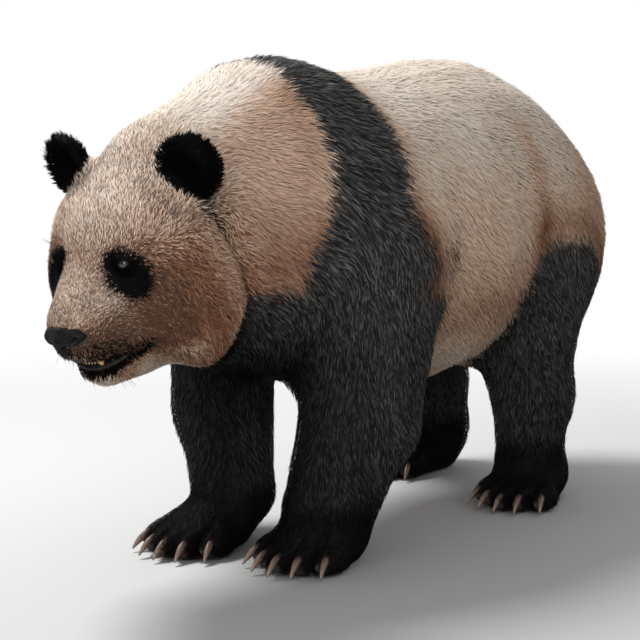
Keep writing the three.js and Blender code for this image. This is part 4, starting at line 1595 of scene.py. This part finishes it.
# %% [markdown]
# A lock's length depends on its part of the body, and its width on its length. Its slant is the one that
# takes its tip from the sunken skin just up to the body's outer form.

# %% Length, width and slant
LOCK_LENGTH = {"trunk": 26, "tail": 42, "neck": 21, "head": 10.5, "jaw": 9, "ear": 16, "leg": 19, "paw": 10}
CHEEK_EXTRA, SNOUT_LENGTH, LID_LENGTH, FRINGE_EXTRA = 9, 6, 6, 8

side, ahead, up = in_head(roots)
root_snout = face_share(root_shares) * step(60, 115, ahead)
root_cheek = root_shares["head"] * step(50, 95, np.abs(side)) * step(30, -40, up)
root_crown = root_shares["head"] * step(20, 60, up)
vary = np.clip(1 + 0.16 * rng.normal(size=COAT_TUFTS), 0.6, 1.35)
lengths = sum(root_shares[name] * LOCK_LENGTH[name] for name in GROUPS)
lengths = lengths + CHEEK_EXTRA * root_cheek
lengths = lengths + step(36, 20, eye_distance(roots)) * np.minimum(LID_LENGTH - lengths, 0)
lengths = (lengths + root_snout * (SNOUT_LENGTH - lengths)) * vary
root_fringe = root_snout * lip_fringe(roots)
lengths = lengths + FRINGE_EXTRA * root_fringe * rng.random(COAT_TUFTS)
widths = (0.70 + 0.040 * lengths + 0.5 * root_shares["ear"]) * (0.8 + 0.4 * rng.random(COAT_TUFTS))
slant = np.arcsin(np.clip(coat_depth(roots, root_shares) / lengths, 0.12, 0.6))
slant = slant + 0.75 * root_shares["ear"] + 0.45 * root_fringe + 0.07 * rng.normal(size=COAT_TUFTS)
rise_root = np.clip(1.5 * slant, 0.15, 1.2)
rise_tip = np.clip((0.55 + 0.3 * root_shares["ear"]) * slant, 0.03, 0.9)
print("lock length", lengths.min().round(1), "to", lengths.max().round(1), "mm")

# %% [markdown]
# Neighbouring hairs stick together. A second, much sparser set of points is drawn from the roots, and
# every tip leans towards the tip of the lock that grows at the nearest of them, so that the coat parts
# into strands a finger wide.

# %% Shape of the locks
CLUMP, LEAN, WAIST = 9, 0.20, 0.45
ROOT_DEPTH = 1.2 * MM
WAIST_CLEAR, TIP_CLEAR = 0.06, 0.09
LOWEST = 0.5 * MM


def grow_out(rise, share):
    """The step along a lock for a share of its length, at an angle above the skin."""
    way = flow * np.cos(rise)[:, None] + normals * np.sin(rise)[:, None]
    return way * (lengths * share * MM)[:, None]


waists = roots + grow_out(rise_root, WAIST)
tips = waists + grow_out(rise_tip, 1 - WAIST)
leaders = np.arange(0, COAT_TUFTS, CLUMP)
leader_tree = KDTree(len(leaders))
for number, leader in enumerate(leaders):
    leader_tree.insert(roots[leader], number)
leader_tree.balance()
follow = leaders[[leader_tree.find(root)[1] for root in roots]]
apart = np.linalg.norm(tips - tips[follow], axis=1)
pull = LEAN * step(0.022, 0.008, apart) * (1 + 2.4 * root_shares["ear"])
tips = tips + (tips[follow] - tips) * pull[:, None]


def lift_clear(spots, least):
    """Where the skin is hollow, a straight lock would run through it, so it is lifted clear."""
    for index, spot in enumerate(spots):
        nearest, out, _, _ = skin_tree.find_nearest(Vector(spot))
        short = least[index] - (spot - np.array(nearest)) @ np.array(out)
        if short > 0:
            spots[index] = spot + np.array(out) * short
    return spots


waists = lift_clear(waists, WAIST_CLEAR * lengths * MM)
tips = lift_clear(tips, TIP_CLEAR * lengths * MM)
across = unit(np.cross(flow, normals))
twist = rng.normal(size=COAT_TUFTS)[:, None] * 0.30
across = unit(across + normals * twist)
half = (widths * MM / 2)[:, None]
raised = unit(np.cross(across, flow))
raised = raised * np.sign((raised * normals).sum(axis=1, keepdims=True))
buried, ridge = roots - normals * ROOT_DEPTH, waists + raised * half * 0.7
corners = np.stack([buried, waists - across * half, waists + across * half, ridge, tips], axis=1)
corners[:, :, 2] = np.maximum(corners[:, :, 2], LOWEST)
own_share = 0.35 - 0.22 * (root_shares["trunk"] + root_shares["neck"])
own = np.stack([0 * normals, -across, across, raised, flow * 0.3], axis=1)
facing = unit(normals[:, None] + own_share[:, None, None] * own)
print("clumps", len(leaders), "mean pull", pull.mean().round(2))

# %% [markdown]
# Each lock takes its markings at the middle of what shows of it, a little displaced, so that black and
# pale hair mingle along their border. Its shading leans on the skin's normal, which keeps the coat soft,
# and its patch of the unwrap lies at its root. The locks are then shared out among pieces of a size that
# other programs can still handle.

# %% Coat pieces
LOCK_FACES = np.array([(0, 1, 2), (0, 3, 1), (0, 2, 3), (4, 2, 1), (4, 1, 3), (4, 3, 2)])
LOCK_ALONG = np.array([0.0, WAIST, WAIST, WAIST, 1.0])
LOCK_SPOT = np.array([(0, -1), (-1, 0), (1, 0), (0, 0), (0, 1)]) * 0.0015
MOST_LOCKS = 32000
SHOWN, STRAY_MARK, STRAY_TAN = 0.55, 6 * MM, 0.14
ROOT_TO_TIP = np.array([0.80, 0.28, 0.28, 0.18, -0.30])

uv = read(skin_mesh.uv_layers["OFBake"].uv, "vector", 2)
root_uv = np.einsum("tk,tkc->tc", weights, uv[loops[chosen]])
middles = roots + flow * (SHOWN * lengths * MM)[:, None]
on_head = face_share(root_shares)
jitter = rng.normal(size=(COAT_TUFTS, 3)) * STRAY_MARK * (1 - 0.5 * on_head[:, None])
threshold = rng.random(COAT_TUFTS) * 0.7 + 0.1


def black_at(spots):
    return step(threshold, threshold + 0.2, black(spots + jitter, root_shares))


lock_black = black_at(middles)
tip_black = black_at(tips)
lock_tan = tan(middles, root_shares) + on_head * STRAY_TAN * rng.normal(size=COAT_TUFTS)
share_dusk = dusk(middles, root_shares)
lock_dusk = np.where(share_dusk > rng.random(COAT_TUFTS), np.clip(0.28 + 0.65 * share_dusk, 0, 0.75), 0.0)
lock_dusk = np.where(lock_black > 0.5, deep(middles, root_shares), lock_dusk)
lock_random = rng.random(COAT_TUFTS)


def build_locks(name, members):
    """One mesh object of the given locks."""
    count = len(members)
    mesh = bpy.data.meshes.new(name)
    faces = (LOCK_FACES[None] + 5 * np.arange(count)[:, None, None]).reshape(-1, 3)
    mesh.vertices.add(count * 5)
    write(mesh.vertices, "co", corners[members])
    mesh.loops.add(len(faces) * 3)
    write(mesh.loops, "vertex_index", faces, np.int32)
    mesh.polygons.add(len(faces))
    write(mesh.polygons, "loop_start", np.arange(0, len(faces) * 3, 3), np.int32)
    mesh.update(calc_edges=True)
    shade_smooth(mesh)
    write(mesh.attributes.new("custom_normal", "FLOAT_VECTOR", "POINT").data, "vector", facing[members])
    fade = ((on_head - 0.6 * root_cheek - 0.5 * root_crown)[members][:, None] * ROOT_TO_TIP).ravel()
    blackness = np.column_stack([lock_black[members]] * 4 + [tip_black[members]]).ravel()
    paint(mesh, "marks", blackness, np.repeat(lock_tan[members], 5) + fade,
          np.repeat(lock_dusk[members], 5))
    paint(mesh, "strand", np.repeat(lock_random[members], 5), np.tile(LOCK_ALONG, count))
    spots = (root_uv[members][:, None] + LOCK_SPOT[None]).reshape(-1, 2)
    write(mesh.uv_layers.new(name="OFBake").uv, "vector", spots[faces.ravel()])
    mesh.materials.append(fur_material)
    mostly = "black_fur" if lock_black[members].mean() > 0.5 else "white_fur"
    return add_object(name, mesh, mostly)


COAT_PARTS = {
    "coat_head": ["head", "jaw", "ear"],
    "coat_neck": ["neck"],
    "coat_trunk": ["trunk", "tail"],
    "coat_legs": ["leg", "paw"],
}
part_shares = [sum(root_shares[group] for group in groups) for groups in COAT_PARTS.values()]
part_of_lock = np.array(part_shares).argmax(axis=0)
total = 0
for number, name in enumerate(COAT_PARTS):
    members = np.flatnonzero(part_of_lock == number)
    members = members[np.lexsort((roots[members, 1], roots[members, 0] < 0))]
    pieces = math.ceil(len(members) / MOST_LOCKS)
    for index, chunk in enumerate(np.array_split(members, pieces)):
        build_locks(f"{name}_{index + 1}", chunk)
        total += len(chunk) * 6
a, b, c = (corners[:, LOCK_FACES[:, k]] for k in range(3))
volume = np.einsum("tfk,tfk->t", np.cross(a, b), c) / 6
print("coat", total, "triangles, inside out:", int((volume < 0).sum()))
